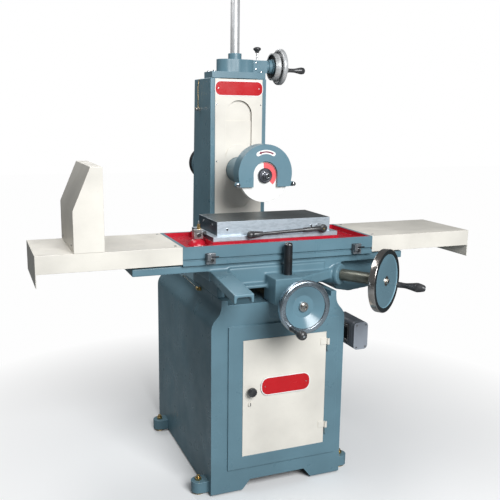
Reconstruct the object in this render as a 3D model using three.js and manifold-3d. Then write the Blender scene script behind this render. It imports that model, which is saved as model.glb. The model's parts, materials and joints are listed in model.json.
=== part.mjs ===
// Manual surface grinder. Millimetres, +Z up, operator on the -Y side.
// Design axes: x = 0 on the column centre, y = 0 in the wheel's middle plane, z = 0 on the floor.
// The finished group is shifted so that its origin is the bottom centre of its bounding box.
import * as THREE from 'three';
import { mergeVertices } from 'three/addons/utils/BufferGeometryUtils.js';
import Module from 'manifold-3d';

const wasm = await Module();
wasm.setup();

// ---------------------------------------------------------------- driving dimensions
const GAP = 0.3; // between pieces that touch
const PAINT_GAP = 1; // around a door or panel that sits in a frame

const BASE = {
  halfWidth: 267, neckHalfWidth: 229, front: -178, back: 570,
  bottom: 8, shoulder: 640, deck: 730, wall: 14,
};
const FRAME = { x0: -204, x1: 238, z0: 99, z1: 650, proud: 8 };
const DOOR = { x0: -148, x1: 188, z0: 147, z1: 595, lap: 20 };
const TOE = { halfBottom: 146, halfTop: 112, height: 45 };
const FOOT = { x: 298, yFront: -121, yBack: 447, radius: 28, top: 50, pad: 22, screw: 7 };
const RAIL = { x0: 206, x1: 229, top: 748, y1: 262 };

const COLUMN = {
  halfWidth: 119.5, front: 269, backTop: 480, backBottom: 520, top: 1535, wall: 14,
};
const FRONT_OPENING = { halfWidth: 80, z0: 745, z1: COLUMN.top + 5 };
const SLOT = { halfWidth: 56, z0: 1014, z1: 1449 };
const PANEL = { halfWidth: 101.5, z0: 880, z1: 1532, thickness: 3 };
const MOTOR_SLOT = { halfWidth: 84, z0: 1000, z1: 1480 };
const CAP = { halfWidth: 114, y0: 266, y1: 366, height: 25 };

const SCREW_Y = 318; // elevating screw axis
const PINION_Z = 1588; // elevating pinion axis
const SPINDLE_Z = 1170; // grinding spindle axis

const WHEEL = { radius: 100, front: -6, back: 14, bore: 16.2 };
const GUARD = { radius: 108, centreZ: 1178, bottomZ: 1128, front: -15, back: 38, wall: 3 };
const CUTOUT = { halfWidth: 48, centreZ: 1175 };
const HOUSING = { radius: 52, front: 40, slideFront: 290, slideBack: 400 };
const SLIDE = { halfWidth: 79.5, z0: 1080, z1: 1260 };
const MOTOR = { radius: 75, y0: 470, y1: 672, fanBack: 722 };

const SADDLE = { wing: 535, halfDepth: 140, wingBottom: 849, top: 876.7, legBottom: 748.3 };
const ARM = { x0: -260, x1: -190, front: -385, topBack: 852, topFront: 824, thickness: 31, skin: 10 };
const CORE = { x0: -262, x1: 240, back: 150, bottom: 812 }; // middle of the saddle, under its bed
const LEG = { outer: 232, inner: 203, rightFront: -35, top: 815 };
const CAVITY = { halfWidth: 196, front: -110, roof: 838 };
const BARREL = { collar: 41, radius: 38, endRadius: 44, length: 125 }; // round the table-feed shaft
const BLOCK = { halfWidth: 53, front: -245, bottom: 733, top: 828 };
const CROSS_Z = 756; // cross-feed screw axis
const VEE = { y: -90, halfWidth: 20, height: 17 };
const RACK_SLOT = { y0: 5, y1: 45, floor: 858 };

const TABLE = { x0: -362, x1: 389, halfDepth: 155, bottom: 877, top: 944, rim: 12, tray: 926 };
const SEAT = { x0: -247, x1: 255, halfDepth: 131, top: 951 };
const TEE = { z0: 893, z1: 901, depth: 8 };
const SHEET = 3;
const END_GUARD = { left: -850, right: 841, skirt: 61, endSkirt: 106 };
const HOOD = { x0: -727, xTop: -666.5, x1: -627, shoulder: 1083, top: 1223 };

const CHUCK = { x0: -221, x1: 229, halfDepth: 105, top: 1018, flange: 22, flangeTop: 967 };
const LEVER = { x: 182, z: 982, y: -141, length: 303, droop: 1.9 };
const DOG = { width: 34, z0: 882, z1: 920, front: -182, leftX: -265, rightX: 316 };
const POST = { x: 19.5, y: -190, radius: 15.5, top: 946 };

// table-feed handwheel: its shaft runs out of the saddle, turned from +X towards the operator
const DRIVE = { x: 260, y: -150, z: 803, angle: 55.5, reach: 188, radius: 117.5 };
const DRIVE_GEAR = { back: 212, tipRadius: 55, pitchRadius: 52.5, rootRadius: 50, teeth: 16, face: 16 };
const CROSS_WHEEL = { front: -380, radius: 93.5 };
const LIFT_WHEEL = { x: 196, radius: 72.5 };
const LIFT_GEARS = { nutTeeth: 28, pinionTeeth: 12 }; // wheel turns for each turn of the nut: 28 / 12

// ---------------------------------------------------------------- materials
const paint = (color, roughness = 0.38, metalness = 0.1) =>
  new THREE.MeshStandardMaterial({ color, roughness, metalness });
const bluePaint = paint(0x55757e);
const creamPaint = paint(0xe6e0d6, 0.45, 0);
const greyPaint = paint(0x8d939c, 0.5);
const steel = paint(0xb9bcbf, 0.3, 1);
const groundSteel = paint(0x747a78, 0.35, 1);
const chrome = paint(0xe3e4e6, 0.12, 1);
const blackOxide = paint(0x1c1e20, 0.45, 0.6);
const blackPlastic = paint(0x121314, 0.3, 0);
const brass = paint(0xb08d4a, 0.3, 1);
const abrasive = paint(0xf3f1ec, 0.95, 0);

// ---------------------------------------------------------------- solid helpers
const rad = THREE.MathUtils.degToRad;

function signedVolume(geometry) {
  const p = geometry.attributes.position;
  const index = geometry.index;
  const a = new THREE.Vector3();
  const b = new THREE.Vector3();
  const c = new THREE.Vector3();
  let sum = 0;
  for (let i = 0; i < index.count; i += 3) {
    a.fromBufferAttribute(p, index.getX(i));
    b.fromBufferAttribute(p, index.getX(i + 1));
    c.fromBufferAttribute(p, index.getX(i + 2));
    sum += a.dot(b.cross(c));
  }
  return sum / 6;
}

// Merge a geometry's shared vertices and make its faces point out.
function closed(geometry) {
  const bare = geometry.clone();
  for (const name of ['normal', 'uv']) bare.deleteAttribute(name);
  const merged = mergeVertices(bare, 1e-4);
  if (signedVolume(merged) < 0) {
    const order = merged.index.array;
    for (let i = 0; i < order.length; i += 3) {
      const swap = order[i];
      order[i] = order[i + 1];
      order[i + 1] = swap;
    }
  }
  return merged;
}

function toManifold(geometry) {
  const merged = closed(geometry);
  return new wasm.Manifold(new wasm.Mesh({
    numProp: 3,
    vertProperties: Float32Array.from(merged.attributes.position.array),
    triVerts: Uint32Array.from(merged.index.array),
  }));
}

function toGeometry(manifold) {
  const mesh = manifold.getMesh();
  const geometry = new THREE.BufferGeometry();
  geometry.setAttribute('position', new THREE.BufferAttribute(mesh.vertProperties, 3));
  geometry.setIndex(new THREE.BufferAttribute(mesh.triVerts, 1));
  return geometry;
}

const join = (...parts) => toGeometry(parts.map(toManifold).reduce((all, part) => all.add(part)));
const cut = (body, ...tools) =>
  toGeometry(tools.map(toManifold).reduce((left, tool) => left.subtract(tool), toManifold(body)));

// Facets round a turned surface: a multiple of four, so opposite sides match.
const FINENESS = 0.55;
const facets = (wanted) => Math.max(8, 4 * Math.round((wanted * FINENESS) / 4));

function box(x0, x1, y0, y1, z0, z1) {
  const geometry = new THREE.BoxGeometry(x1 - x0, y1 - y0, z1 - z0);
  return geometry.translate((x0 + x1) / 2, (y0 + y1) / 2, (z0 + z1) / 2);
}

// Turn a shape drawn about +Y so that its axis lies along 'x', 'y' or 'z'.
function alongAxis(geometry, axis) {
  if (axis === 'x') geometry.rotateZ(-Math.PI / 2);
  if (axis === 'z') geometry.rotateX(Math.PI / 2);
  return geometry;
}

// Cylinder from a to b along an axis; (u, v) places it across: (y,z), (x,z) or (x,y).
function rod(axis, radius, a, b, u = 0, v = 0, segments = 32, endRadius = radius) {
  const low = Math.min(a, b);
  const high = Math.max(a, b);
  const sides = segments === 6 ? 6 : facets(segments);
  const geometry = new THREE.CylinderGeometry(endRadius, radius, high - low, sides);
  alongAxis(geometry, axis);
  const middle = (low + high) / 2;
  if (axis === 'x') return geometry.translate(middle, u, v);
  if (axis === 'y') return geometry.translate(u, middle, v);
  return geometry.translate(u, v, middle);
}

// Turned piece: profile is [radius, height] pairs, turned about an axis.
function turned(axis, profile, u = 0, v = 0, segments = 40) {
  const points = profile.map(([r, h]) => new THREE.Vector2(r, h));
  const geometry = alongAxis(new THREE.LatheGeometry(points, facets(segments)), axis);
  if (axis === 'x') return geometry.translate(0, u, v);
  if (axis === 'y') return geometry.translate(u, 0, v);
  return geometry.translate(u, v, 0);
}

function outline(points) {
  const shape = new THREE.Shape();
  points.forEach(([a, b], i) => (i ? shape.lineTo(a, b) : shape.moveTo(a, b)));
  shape.closePath();
  return shape;
}

const extrude = (shape, depth, curveSegments = 12) =>
  new THREE.ExtrudeGeometry(shape, { depth, bevelEnabled: false, curveSegments });

// Profile in (x, z), extruded from y0 to y1.
function prismY(shape, y0, y1, curveSegments) {
  return extrude(shape, y1 - y0, curveSegments).rotateX(Math.PI / 2).translate(0, y1, 0);
}

// Profile in (y, z), extruded from x0 to x1.
function prismX(shape, x0, x1, curveSegments) {
  const geometry = extrude(shape, x1 - x0, curveSegments);
  geometry.rotateX(Math.PI / 2).rotateZ(Math.PI / 2);
  return geometry.translate(x0, 0, 0);
}

// Profile in (x, y), extruded from z0 to z1.
const prismZ = (shape, z0, z1, curveSegments) => extrude(shape, z1 - z0, curveSegments).translate(0, 0, z0);

const hexagon = (axis, radius, a, b, u, v) => rod(axis, radius, a, b, u, v, 6);

function mesh(name, geometry, material) {
  const node = new THREE.Mesh(geometry, material);
  node.name = name;
  return node;
}

const machine = new THREE.Group();
const add = (name, geometry, material) => machine.add(mesh(name, closed(geometry), material));

// ---------------------------------------------------------------- shared turned shapes
// Handwheel turned about +Y: its face looks to -Y at height 0, and the rim lies behind it.
// Every height is measured back from the face.
function handwheel({ radius, rim, depth, hub, hubDepth, dish, bore, pinRadius, pinAngle, pinReach }) {
  const inner = radius - rim;
  const web = 7;
  const chamfer = 2.5;
  const body = turned('y', [
    [bore, dish - hub.proud], [hub.radius, dish - hub.proud],
    [hub.radius, dish], [inner * 0.78, dish], [inner, chamfer],
    [inner, 0], [radius - chamfer, 0], [radius, chamfer], [radius, depth - chamfer],
    [radius - chamfer, depth], [inner + 1, depth], [inner, depth - chamfer],
    [inner, dish + web - chamfer], [hub.radius + 2, dish + web], [hub.radius, hubDepth], [bore, hubDepth],
    [bore, dish - hub.proud],
  ], 0, 0, 56);
  const x = pinRadius * Math.cos(pinAngle);
  const z = pinRadius * Math.sin(pinAngle);
  return join(body, rod('y', 4.5, -pinReach, 4, x, z, 16));
}

// Grip turned about -Y from height 0 at its collar to -length at its ball end.
function grip(length, waist, swell, bore, boreDepth) {
  const profile = [[0, -length], [swell * 0.62, -length + 1.5], [swell, -length * 0.86]];
  profile.push([swell * 0.96, -length * 0.7], [waist, -length * 0.36], [waist, -length * 0.12]);
  profile.push([waist * 1.2, -length * 0.06], [waist * 1.1, 0], [bore, 0]);
  profile.push([bore, -boreDepth], [0, -boreDepth]);
  return turned('y', profile, 0, 0, 24);
}

// ---------------------------------------------------------------- base cabinet
function cabinetOutline(inset) {
  const foot = BASE.halfWidth - inset;
  const neck = BASE.neckHalfWidth - inset;
  const top = BASE.deck - inset;
  const bottom = inset ? BASE.bottom - 20 : BASE.bottom;
  const shape = new THREE.Shape();
  shape.moveTo(-foot, bottom);
  shape.lineTo(foot, bottom);
  shape.lineTo(foot, BASE.shoulder);
  shape.bezierCurveTo(foot, BASE.shoulder + 45, neck, top - 50, neck, top);
  shape.lineTo(-neck, top);
  shape.bezierCurveTo(-neck, top - 50, -foot, BASE.shoulder + 45, -foot, BASE.shoulder);
  shape.closePath();
  return shape;
}

function footLug(side, y) {
  const shape = new THREE.Shape();
  shape.moveTo(BASE.halfWidth - 10, -FOOT.radius);
  shape.lineTo(FOOT.x, -FOOT.radius);
  shape.absarc(FOOT.x, 0, FOOT.radius, -Math.PI / 2, Math.PI / 2, false);
  shape.lineTo(BASE.halfWidth - 10, FOOT.radius);
  shape.closePath();
  const lug = prismZ(shape, BASE.bottom, FOOT.top, 8);
  if (side < 0) lug.rotateZ(Math.PI);
  return lug.translate(0, y, 0);
}

const feet = [];
for (const side of [-1, 1]) {
  for (const y of [FOOT.yFront, FOOT.yBack]) feet.push([side, y]);
}

function makeBase() {
  const frameFront = BASE.front - FRAME.proud;
  const toe = prismY(outline([
    [-TOE.halfBottom, BASE.bottom - 5], [TOE.halfBottom, BASE.bottom - 5], [TOE.halfTop, TOE.height],
    [-TOE.halfTop, TOE.height],
  ]), BASE.front - 20, BASE.back + 20);
  const rails = [-1, 1].map((side) => box(
    Math.min(side * RAIL.x0, side * RAIL.x1), Math.max(side * RAIL.x0, side * RAIL.x1),
    BASE.front, RAIL.y1, BASE.deck - 5, RAIL.top,
  ));
  const shell = join(
    prismY(cabinetOutline(0), BASE.front, BASE.back, 8),
    box(FRAME.x0, FRAME.x1, frameFront, BASE.front + 2, FRAME.z0, FRAME.z1),
    ...feet.map(([side, y]) => footLug(side, y)),
    ...rails,
  );
  const recess = box(
    DOOR.x0 - PAINT_GAP, DOOR.x1 + PAINT_GAP, frameFront - 5, BASE.front,
    DOOR.z0 - PAINT_GAP, DOOR.z1 + PAINT_GAP,
  );
  const opening = box(
    DOOR.x0 + DOOR.lap, DOOR.x1 - DOOR.lap, frameFront - 5, BASE.front + BASE.wall + 5,
    DOOR.z0 + DOOR.lap, DOOR.z1 - DOOR.lap,
  );
  return cut(
    shell,
    prismY(cabinetOutline(BASE.wall), BASE.front + BASE.wall, BASE.back - BASE.wall, 8),
    recess,
    opening,
    toe,
    ...feet.map(([side, y]) => rod('z', FOOT.screw + 0.5, -5, FOOT.top + 5, side * FOOT.x, y, 20)),
  );
}
add('base_cabinet', makeBase(), bluePaint);

feet.forEach(([side, y], i) => {
  const x = side * FOOT.x;
  add(`levelling_screw_${i + 1}`, join(
    rod('z', FOOT.pad, 0, BASE.bottom - GAP, x, y, 24, FOOT.pad - 3),
    rod('z', FOOT.screw, 2, FOOT.top + 18, x, y, 20),
    hexagon('z', 12.5, FOOT.top + GAP, FOOT.top + 10, x, y),
  ), brass);
});

// ---------------------------------------------------------------- cabinet door
const DOOR_FRONT = BASE.front - FRAME.proud;
const HINGE = { x: DOOR.x1 + 6, y: DOOR_FRONT - 6, radius: 5.5, pin: 2.6, half: 24, heights: [211, 546] };
const KNOB = { x: -118, z: 402 };

function makeDoor() {
  const knuckles = HINGE.heights.map((z) => join(
    rod('z', HINGE.radius, z + GAP, z + HINGE.half, HINGE.x, HINGE.y, 16),
    box(HINGE.x - 30, DOOR.x1, DOOR_FRONT - 3, DOOR_FRONT + 1, z + GAP, z + HINGE.half),
    box(DOOR.x1 - 1, HINGE.x, DOOR_FRONT - 3, DOOR_FRONT - GAP, z + GAP, z + HINGE.half),
  ));
  const holes = HINGE.heights.map((z) =>
    rod('z', HINGE.pin + 0.4, z - 5, z + HINGE.half + 5, HINGE.x, HINGE.y, 12));
  const panel = box(DOOR.x0, DOOR.x1, DOOR_FRONT, BASE.front - GAP, DOOR.z0, DOOR.z1);
  const knobHole = rod('y', 6.4, DOOR_FRONT - 5, BASE.front + 5, KNOB.x, KNOB.z, 20);
  return cut(join(panel, ...knuckles), ...holes, knobHole);
}
add('cabinet_door', makeDoor(), creamPaint);

HINGE.heights.forEach((z, i) => {
  const leafFront = DOOR_FRONT - 3;
  add(['door_hinge_lower', 'door_hinge_upper'][i], join(
    rod('z', HINGE.radius, z - HINGE.half, z - GAP, HINGE.x, HINGE.y, 16),
    rod('z', HINGE.pin, z - 10, z + HINGE.half + 2, HINGE.x, HINGE.y, 12),
    box(HINGE.x + 0.4, HINGE.x + 22, leafFront, DOOR_FRONT - GAP, z - HINGE.half, z - GAP),
    box(HINGE.x, HINGE.x + 4, HINGE.y, leafFront + 1, z - HINGE.half, z - GAP),
  ), steel);
});

add('door_knob', join(
  turned('y', [
    [0, DOOR_FRONT - 24], [14, DOOR_FRONT - 23], [17, DOOR_FRONT - 18], [16, DOOR_FRONT - 9],
    [10, DOOR_FRONT - GAP], [0, DOOR_FRONT - GAP],
  ], KNOB.x, KNOB.z, 28),
  rod('y', 6, DOOR_FRONT - 2, BASE.front + BASE.wall + 8, KNOB.x, KNOB.z, 20),
  box(
    KNOB.x - 6, KNOB.x + 6, BASE.front + BASE.wall + 2, BASE.front + BASE.wall + 7, KNOB.z - 30, KNOB.z + 6,
  ),
), blackPlastic);

// ---------------------------------------------------------------- electrical box
const ELECTRIC = { x0: 330, x1: 392, y0: -150, y1: 10, z0: 492, z1: 602, corner: 16 };

function roundedRectangle(x0, x1, z0, z1, r) {
  const shape = new THREE.Shape();
  shape.moveTo(x0 + r, z0);
  shape.lineTo(x1 - r, z0);
  shape.absarc(x1 - r, z0 + r, r, -Math.PI / 2, 0, false);
  shape.lineTo(x1, z1 - r);
  shape.absarc(x1 - r, z1 - r, r, 0, Math.PI / 2, false);
  shape.lineTo(x0 + r, z1);
  shape.absarc(x0 + r, z1 - r, r, Math.PI / 2, Math.PI, false);
  shape.lineTo(x0, z0 + r);
  shape.absarc(x0 + r, z0 + r, r, Math.PI, Math.PI * 1.5, false);
  return shape;
}

const boxShape = (inset) => roundedRectangle(
  ELECTRIC.x0 + inset, ELECTRIC.x1 - inset, ELECTRIC.z0 + inset, ELECTRIC.z1 - inset,
  ELECTRIC.corner - inset,
);
add('electrical_box', cut(
  prismY(boxShape(0), ELECTRIC.y0 + 20, ELECTRIC.y1, 6),
  prismY(boxShape(4), ELECTRIC.y0, ELECTRIC.y1 - 4, 6),
), greyPaint);
add('electrical_box_cover', join(
  prismY(boxShape(0), ELECTRIC.y0, ELECTRIC.y0 + 20 - GAP, 6),
  prismY(boxShape(5), ELECTRIC.y0 + 10, ELECTRIC.y0 + 26, 6),
), greyPaint);
add('electrical_box_bracket', join(
  box(BASE.halfWidth + GAP, BASE.halfWidth + 6, ELECTRIC.y0 + 30, ELECTRIC.y1 - 20, 500, 600),
  box(BASE.halfWidth + 2, ELECTRIC.x0 - GAP, ELECTRIC.y0 + 45, ELECTRIC.y0 + 70, 575, 583),
  box(BASE.halfWidth + 2, ELECTRIC.x0 - GAP, ELECTRIC.y0 + 45, ELECTRIC.y0 + 70, 515, 523),
  box(ELECTRIC.x0 - 6, ELECTRIC.x0 - GAP, ELECTRIC.y0 + 40, ELECTRIC.y1 - 30, 510, 588),
), blackOxide);

// ---------------------------------------------------------------- column
function columnSide(inset, bottom, top) {
  const slope = (COLUMN.backTop - COLUMN.backBottom) / (COLUMN.top - BASE.deck);
  const back = (z) => COLUMN.backBottom + slope * (z - BASE.deck) - inset;
  return outline([
    [COLUMN.front + inset, bottom], [back(bottom), bottom], [back(top), top], [COLUMN.front + inset, top],
  ]);
}

function makeColumn() {
  const w = COLUMN.halfWidth;
  const inner = w - COLUMN.wall;
  const bottom = BASE.deck + GAP;
  const shell = cut(
    prismX(columnSide(0, bottom, COLUMN.top), -w, w),
    prismX(columnSide(COLUMN.wall, bottom - 20, COLUMN.top - COLUMN.wall), -inner, inner),
    box(-FRONT_OPENING.halfWidth, FRONT_OPENING.halfWidth, COLUMN.front - 5, COLUMN.front + COLUMN.wall + 5,
      FRONT_OPENING.z0, FRONT_OPENING.z1),
    box(-MOTOR_SLOT.halfWidth, MOTOR_SLOT.halfWidth, COLUMN.backTop - 30, COLUMN.backBottom + 20,
      MOTOR_SLOT.z0, MOTOR_SLOT.z1),
    rod('z', 16, COLUMN.top - 40, COLUMN.top + 10, 0, SCREW_Y, 24),
  );
  const guides = [-1, 1].map((side) => {
    const a = side * (SLIDE.halfWidth + 0.5);
    const b = side * (inner + 3);
    return box(Math.min(a, b), Math.max(a, b), 305, 335, FRONT_OPENING.z0, COLUMN.top - COLUMN.wall + 3);
  });
  return join(shell, ...guides);
}
add('column', makeColumn(), bluePaint);

function obround(halfWidth, z0, z1) {
  const shape = new THREE.Shape();
  shape.moveTo(-halfWidth, z0 + halfWidth);
  shape.absarc(0, z0 + halfWidth, halfWidth, Math.PI, Math.PI * 2, false);
  shape.lineTo(halfWidth, z1 - halfWidth);
  shape.absarc(0, z1 - halfWidth, halfWidth, 0, Math.PI, false);
  shape.closePath();
  return shape;
}

const PANEL_BACK = COLUMN.front - GAP;
add('column_front_panel', cut(
  box(-PANEL.halfWidth, PANEL.halfWidth, PANEL_BACK - PANEL.thickness, PANEL_BACK, PANEL.z0, PANEL.z1),
  prismY(obround(SLOT.halfWidth, SLOT.z0, SLOT.z1), PANEL_BACK - 20, PANEL_BACK + 20, 12),
), creamPaint);

// Three sliding plates close the slot behind the panel: the lowest travels with the wheelhead.
const SHUTTER = { halfWidth: 74, thickness: 3, y: COLUMN.front + 1.3, pitch: 4 };
const LOWER_SHUTTER = { z0: 820, archZ: 1220, archRadius: 54.5 };
const MIDDLE_SHUTTER = { legs: 1200, notchHalfWidth: 54, notchTop: 1253, top: 1368 };
const UPPER_SHUTTER = { z0: 1340, z1: 1459 };

function makeLowerShutter() {
  const { halfWidth, thickness, y } = SHUTTER;
  const shape = new THREE.Shape();
  shape.moveTo(-halfWidth, LOWER_SHUTTER.z0);
  shape.lineTo(halfWidth, LOWER_SHUTTER.z0);
  shape.lineTo(halfWidth, LOWER_SHUTTER.archZ - 40);
  shape.lineTo(LOWER_SHUTTER.archRadius, LOWER_SHUTTER.archZ);
  shape.absarc(0, LOWER_SHUTTER.archZ, LOWER_SHUTTER.archRadius, 0, Math.PI, false);
  shape.lineTo(-halfWidth, LOWER_SHUTTER.archZ - 40);
  shape.closePath();
  return cut(
    prismY(shape, y, y + thickness, 12),
    rod('y', HOUSING.radius + 0.6, y - 10, y + 20, 0, SPINDLE_Z, 48),
  );
}
add('shutter_lower', makeLowerShutter(), creamPaint);

const shutterPlate = (layer, z0, z1) => {
  const y = SHUTTER.y + layer * SHUTTER.pitch;
  return box(-SHUTTER.halfWidth, SHUTTER.halfWidth, y, y + SHUTTER.thickness, z0, z1);
};

// The middle plate straddles the spindle housing, which rises past it into its notch.
function makeMiddleShutter() {
  const { legs, notchHalfWidth, notchTop, top } = MIDDLE_SHUTTER;
  const plate = shutterPlate(1, legs, top);
  const notch = prismY(
    obround(notchHalfWidth, legs - 2 * notchHalfWidth, notchTop), SHUTTER.y, SHUTTER.y + 20, 12,
  );
  return cut(plate, notch);
}
add('shutter_middle', makeMiddleShutter(), creamPaint);
add('shutter_upper', shutterPlate(2, UPPER_SHUTTER.z0, UPPER_SHUTTER.z1), creamPaint);

// ---------------------------------------------------------------- column cap and elevating gear
const CAP_Z = COLUMN.top + GAP;
const CAP_TOP = COLUMN.top + CAP.height;
add('column_cap', cut(
  box(-CAP.halfWidth, CAP.halfWidth, CAP.y0, CAP.y1, CAP_Z, CAP_TOP),
  rod('z', 16, CAP_Z - 5, CAP_TOP + 5, 0, SCREW_Y, 24),
), bluePaint);

const GEARBOX = { x0: -76, x1: 80, radius: 44, top: 1610, boss: 27, bossTop: 1634, arm: 133, outer: 152 };

function makeGearHousing() {
  const { x0, x1, radius, top, boss, bossTop, arm, outer } = GEARBOX;
  const z0 = CAP_TOP + GAP;
  const drum = new THREE.Shape();
  drum.moveTo(x0 + radius, SCREW_Y - radius);
  drum.lineTo(x1 - radius, SCREW_Y - radius);
  drum.absarc(x1 - radius, SCREW_Y, radius, -Math.PI / 2, Math.PI / 2, false);
  drum.lineTo(x0 + radius, SCREW_Y + radius);
  drum.absarc(x0 + radius, SCREW_Y, radius, Math.PI / 2, Math.PI * 1.5, false);
  const body = join(
    prismZ(drum, z0, top, 10),
    rod('z', 42, z0, top, 0, SCREW_Y - 6, 40),
    rod('z', boss, z0, bossTop, 0, SCREW_Y, 32),
    box(x1 - radius, arm, SCREW_Y - 25, SCREW_Y + 25, z0, top),
    rod('x', 22, arm - 5, outer, SCREW_Y, PINION_Z, 28),
    rod('x', 28, outer - 8, outer + 5, SCREW_Y, PINION_Z, 28),
  );
  return cut(
    body,
    rod('z', 37, z0 - 5, top - 6, 0, SCREW_Y, 36),
    rod('z', 15, z0, bossTop + 5, 0, SCREW_Y, 24),
    rod('x', 8.5, 0, outer + 10, SCREW_Y, PINION_Z, 20),
    rod('z', 4, top - 12, top + 5, 97, SCREW_Y, 16),
  );
}
add('gear_housing', makeGearHousing(), bluePaint);

add('screw_cover_tube', turned('z', [
  [14.5, GEARBOX.bossTop + GAP], [18.3, GEARBOX.bossTop + GAP], [18.3, 1879], [15, 1885], [0, 1885],
  [0, 1881], [14.5, 1881], [14.5, GEARBOX.bossTop + GAP],
], 0, SCREW_Y, 32), chrome);

// Toothed disc: each tooth is a plain taper from the root circle to the tip circle.
function gear(axis, tipRadius, rootRadius, teeth, a, b, bore) {
  const shape = new THREE.Shape();
  const step = (Math.PI * 2) / teeth;
  for (let i = 0; i < teeth; i += 1) {
    const corners = [[rootRadius, -0.3], [tipRadius, -0.14], [tipRadius, 0.14], [rootRadius, 0.3]];
    corners.forEach(([r, share], k) => {
      const angle = (i + share) * step;
      const x = r * Math.cos(angle);
      const y = r * Math.sin(angle);
      if (i === 0 && k === 0) shape.moveTo(x, y);
      else shape.lineTo(x, y);
    });
  }
  shape.closePath();
  if (bore) {
    const hole = new THREE.Path();
    hole.absarc(0, 0, bore, 0, Math.PI * 2, true);
    shape.holes.push(hole);
  }
  const geometry = extrude(shape, b - a, 12).translate(0, 0, a);
  if (axis === 'x') geometry.rotateX(Math.PI / 2).rotateZ(Math.PI / 2);
  if (axis === 'y') geometry.rotateX(-Math.PI / 2);
  return geometry;
}

const nutGear = gear('z', 34, 30.5, LIFT_GEARS.nutTeeth, CAP_TOP + 0.6, CAP_TOP + 14.5, 13);
add('elevating_nut_gear', nutGear.translate(0, SCREW_Y, 0), brass);

add('elevating_pinion', join(
  gear('x', 12.5, 10.5, LIFT_GEARS.pinionTeeth, 20, 33, 0).translate(0, SCREW_Y, PINION_Z),
  rod('x', 8, 30, LIFT_WHEEL.x + 14, SCREW_Y, PINION_Z, 20),
), steel);

add('elevating_dial', turned('x', [
  [8.4, 159], [30, 159], [30, 166], [48, 166], [48, 161], [54.5, 161], [54.5, 184], [8.4, 184], [8.4, 159],
], SCREW_Y, PINION_Z, 56), steel);

const LIFT_PIN = { radius: 60, angle: rad(195) };
const GRIP_GAP = 2;

// A handwheel drawn facing -Y is turned to face +X here.
const facePlusX = (geometry) =>
  geometry.rotateZ(Math.PI / 2).translate(LIFT_WHEEL.x + 11, SCREW_Y, PINION_Z);
add('elevating_handwheel', facePlusX(handwheel({
  radius: LIFT_WHEEL.radius, rim: 11, depth: 18, hub: { radius: 20, proud: 4 }, hubDepth: 22,
  dish: 3, bore: 8.4, pinRadius: LIFT_PIN.radius, pinAngle: LIFT_PIN.angle, pinReach: 24,
})), chrome);
const LIFT_GRIP_X = Math.cos(LIFT_PIN.angle) * LIFT_PIN.radius;
const LIFT_GRIP_Z = Math.sin(LIFT_PIN.angle) * LIFT_PIN.radius;
add('elevating_handle',
  facePlusX(grip(78, 6.5, 14, 5, 26).translate(LIFT_GRIP_X, -GRIP_GAP, LIFT_GRIP_Z)), blackPlastic);

add('elevation_lock_knob', join(
  rod('z', 3.5, GEARBOX.top - 11, 1643, 97, SCREW_Y, 16),
  turned('z', [[0, 1641], [9, 1641], [11, 1649], [16, 1654], [14, 1661], [0, 1664]], 97, SCREW_Y, 24),
), blackPlastic);

add('elevating_screw', rod('z', 12, SLIDE.z1 + GAP, 1655, 0, SCREW_Y, 24), steel);

// ---------------------------------------------------------------- wheelhead
function makeWheelhead() {
  const { radius, front, slideFront, slideBack } = HOUSING;
  return cut(
    join(
      rod('y', radius, front, slideFront + 5, 0, SPINDLE_Z, 48),
      box(-SLIDE.halfWidth, SLIDE.halfWidth, slideFront, slideBack, SLIDE.z0, SLIDE.z1),
      rod('y', 60, slideBack - 5, MOTOR.y0 - GAP, 0, SPINDLE_Z, 40),
    ),
    rod('y', 19, front - 5, MOTOR.y0 + 5, 0, SPINDLE_Z, 28),
    ...[-1, 1].map((side) => {
      const a = side * (SLIDE.halfWidth + 5);
      const b = side * 66;
      return box(Math.min(a, b), Math.max(a, b), 345, slideBack + 5, SLIDE.z0 - 5, SLIDE.z1 + 5);
    }),
  );
}
add('wheelhead', makeWheelhead(), bluePaint);

const CLAMP_FRONT = GUARD.back + 2 + GAP;
add('guard_clamp_ring', turned('y', [
  [HOUSING.radius + 0.4, CLAMP_FRONT], [63, CLAMP_FRONT], [63, CLAMP_FRONT + 26], [60, CLAMP_FRONT + 30],
  [HOUSING.radius + 0.4, CLAMP_FRONT + 30], [HOUSING.radius + 0.4, CLAMP_FRONT],
], 0, SPINDLE_Z, 48), bluePaint);

add('spindle_motor', join(
  rod('y', MOTOR.radius, MOTOR.y0, MOTOR.y1, 0, SPINDLE_Z, 48),
  box(-28, 28, 530, 600, SPINDLE_Z + 60, SPINDLE_Z + 94),
), bluePaint);
add('motor_fan_cover', cut(
  turned('y', [
    [0, MOTOR.y1 + GAP], [MOTOR.radius + 1, MOTOR.y1 + GAP], [MOTOR.radius + 1, MOTOR.fanBack - 14],
    [MOTOR.radius - 12, MOTOR.fanBack], [0, MOTOR.fanBack],
  ], 0, SPINDLE_Z, 48),
  turned('y', [
    [0, MOTOR.y1 - 5], [MOTOR.radius - 3, MOTOR.y1 - 5], [MOTOR.radius - 3, MOTOR.fanBack - 16],
    [MOTOR.radius - 16, MOTOR.fanBack - 4], [0, MOTOR.fanBack - 4],
  ], 0, SPINDLE_Z, 48),
), blackOxide);

const NOSE = 9; // radius of the spindle's threaded nose
add('spindle', turned('y', [
  [0, -44], [NOSE - 1, -44], [NOSE, -43], [NOSE, -20], [15.5, -20], [15.5, 14 + GAP], [17, 14 + GAP],
  [17, MOTOR.y0 - GAP - 2], [0, MOTOR.y0 - GAP - 2],
], 0, SPINDLE_Z, 28), steel);

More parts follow.
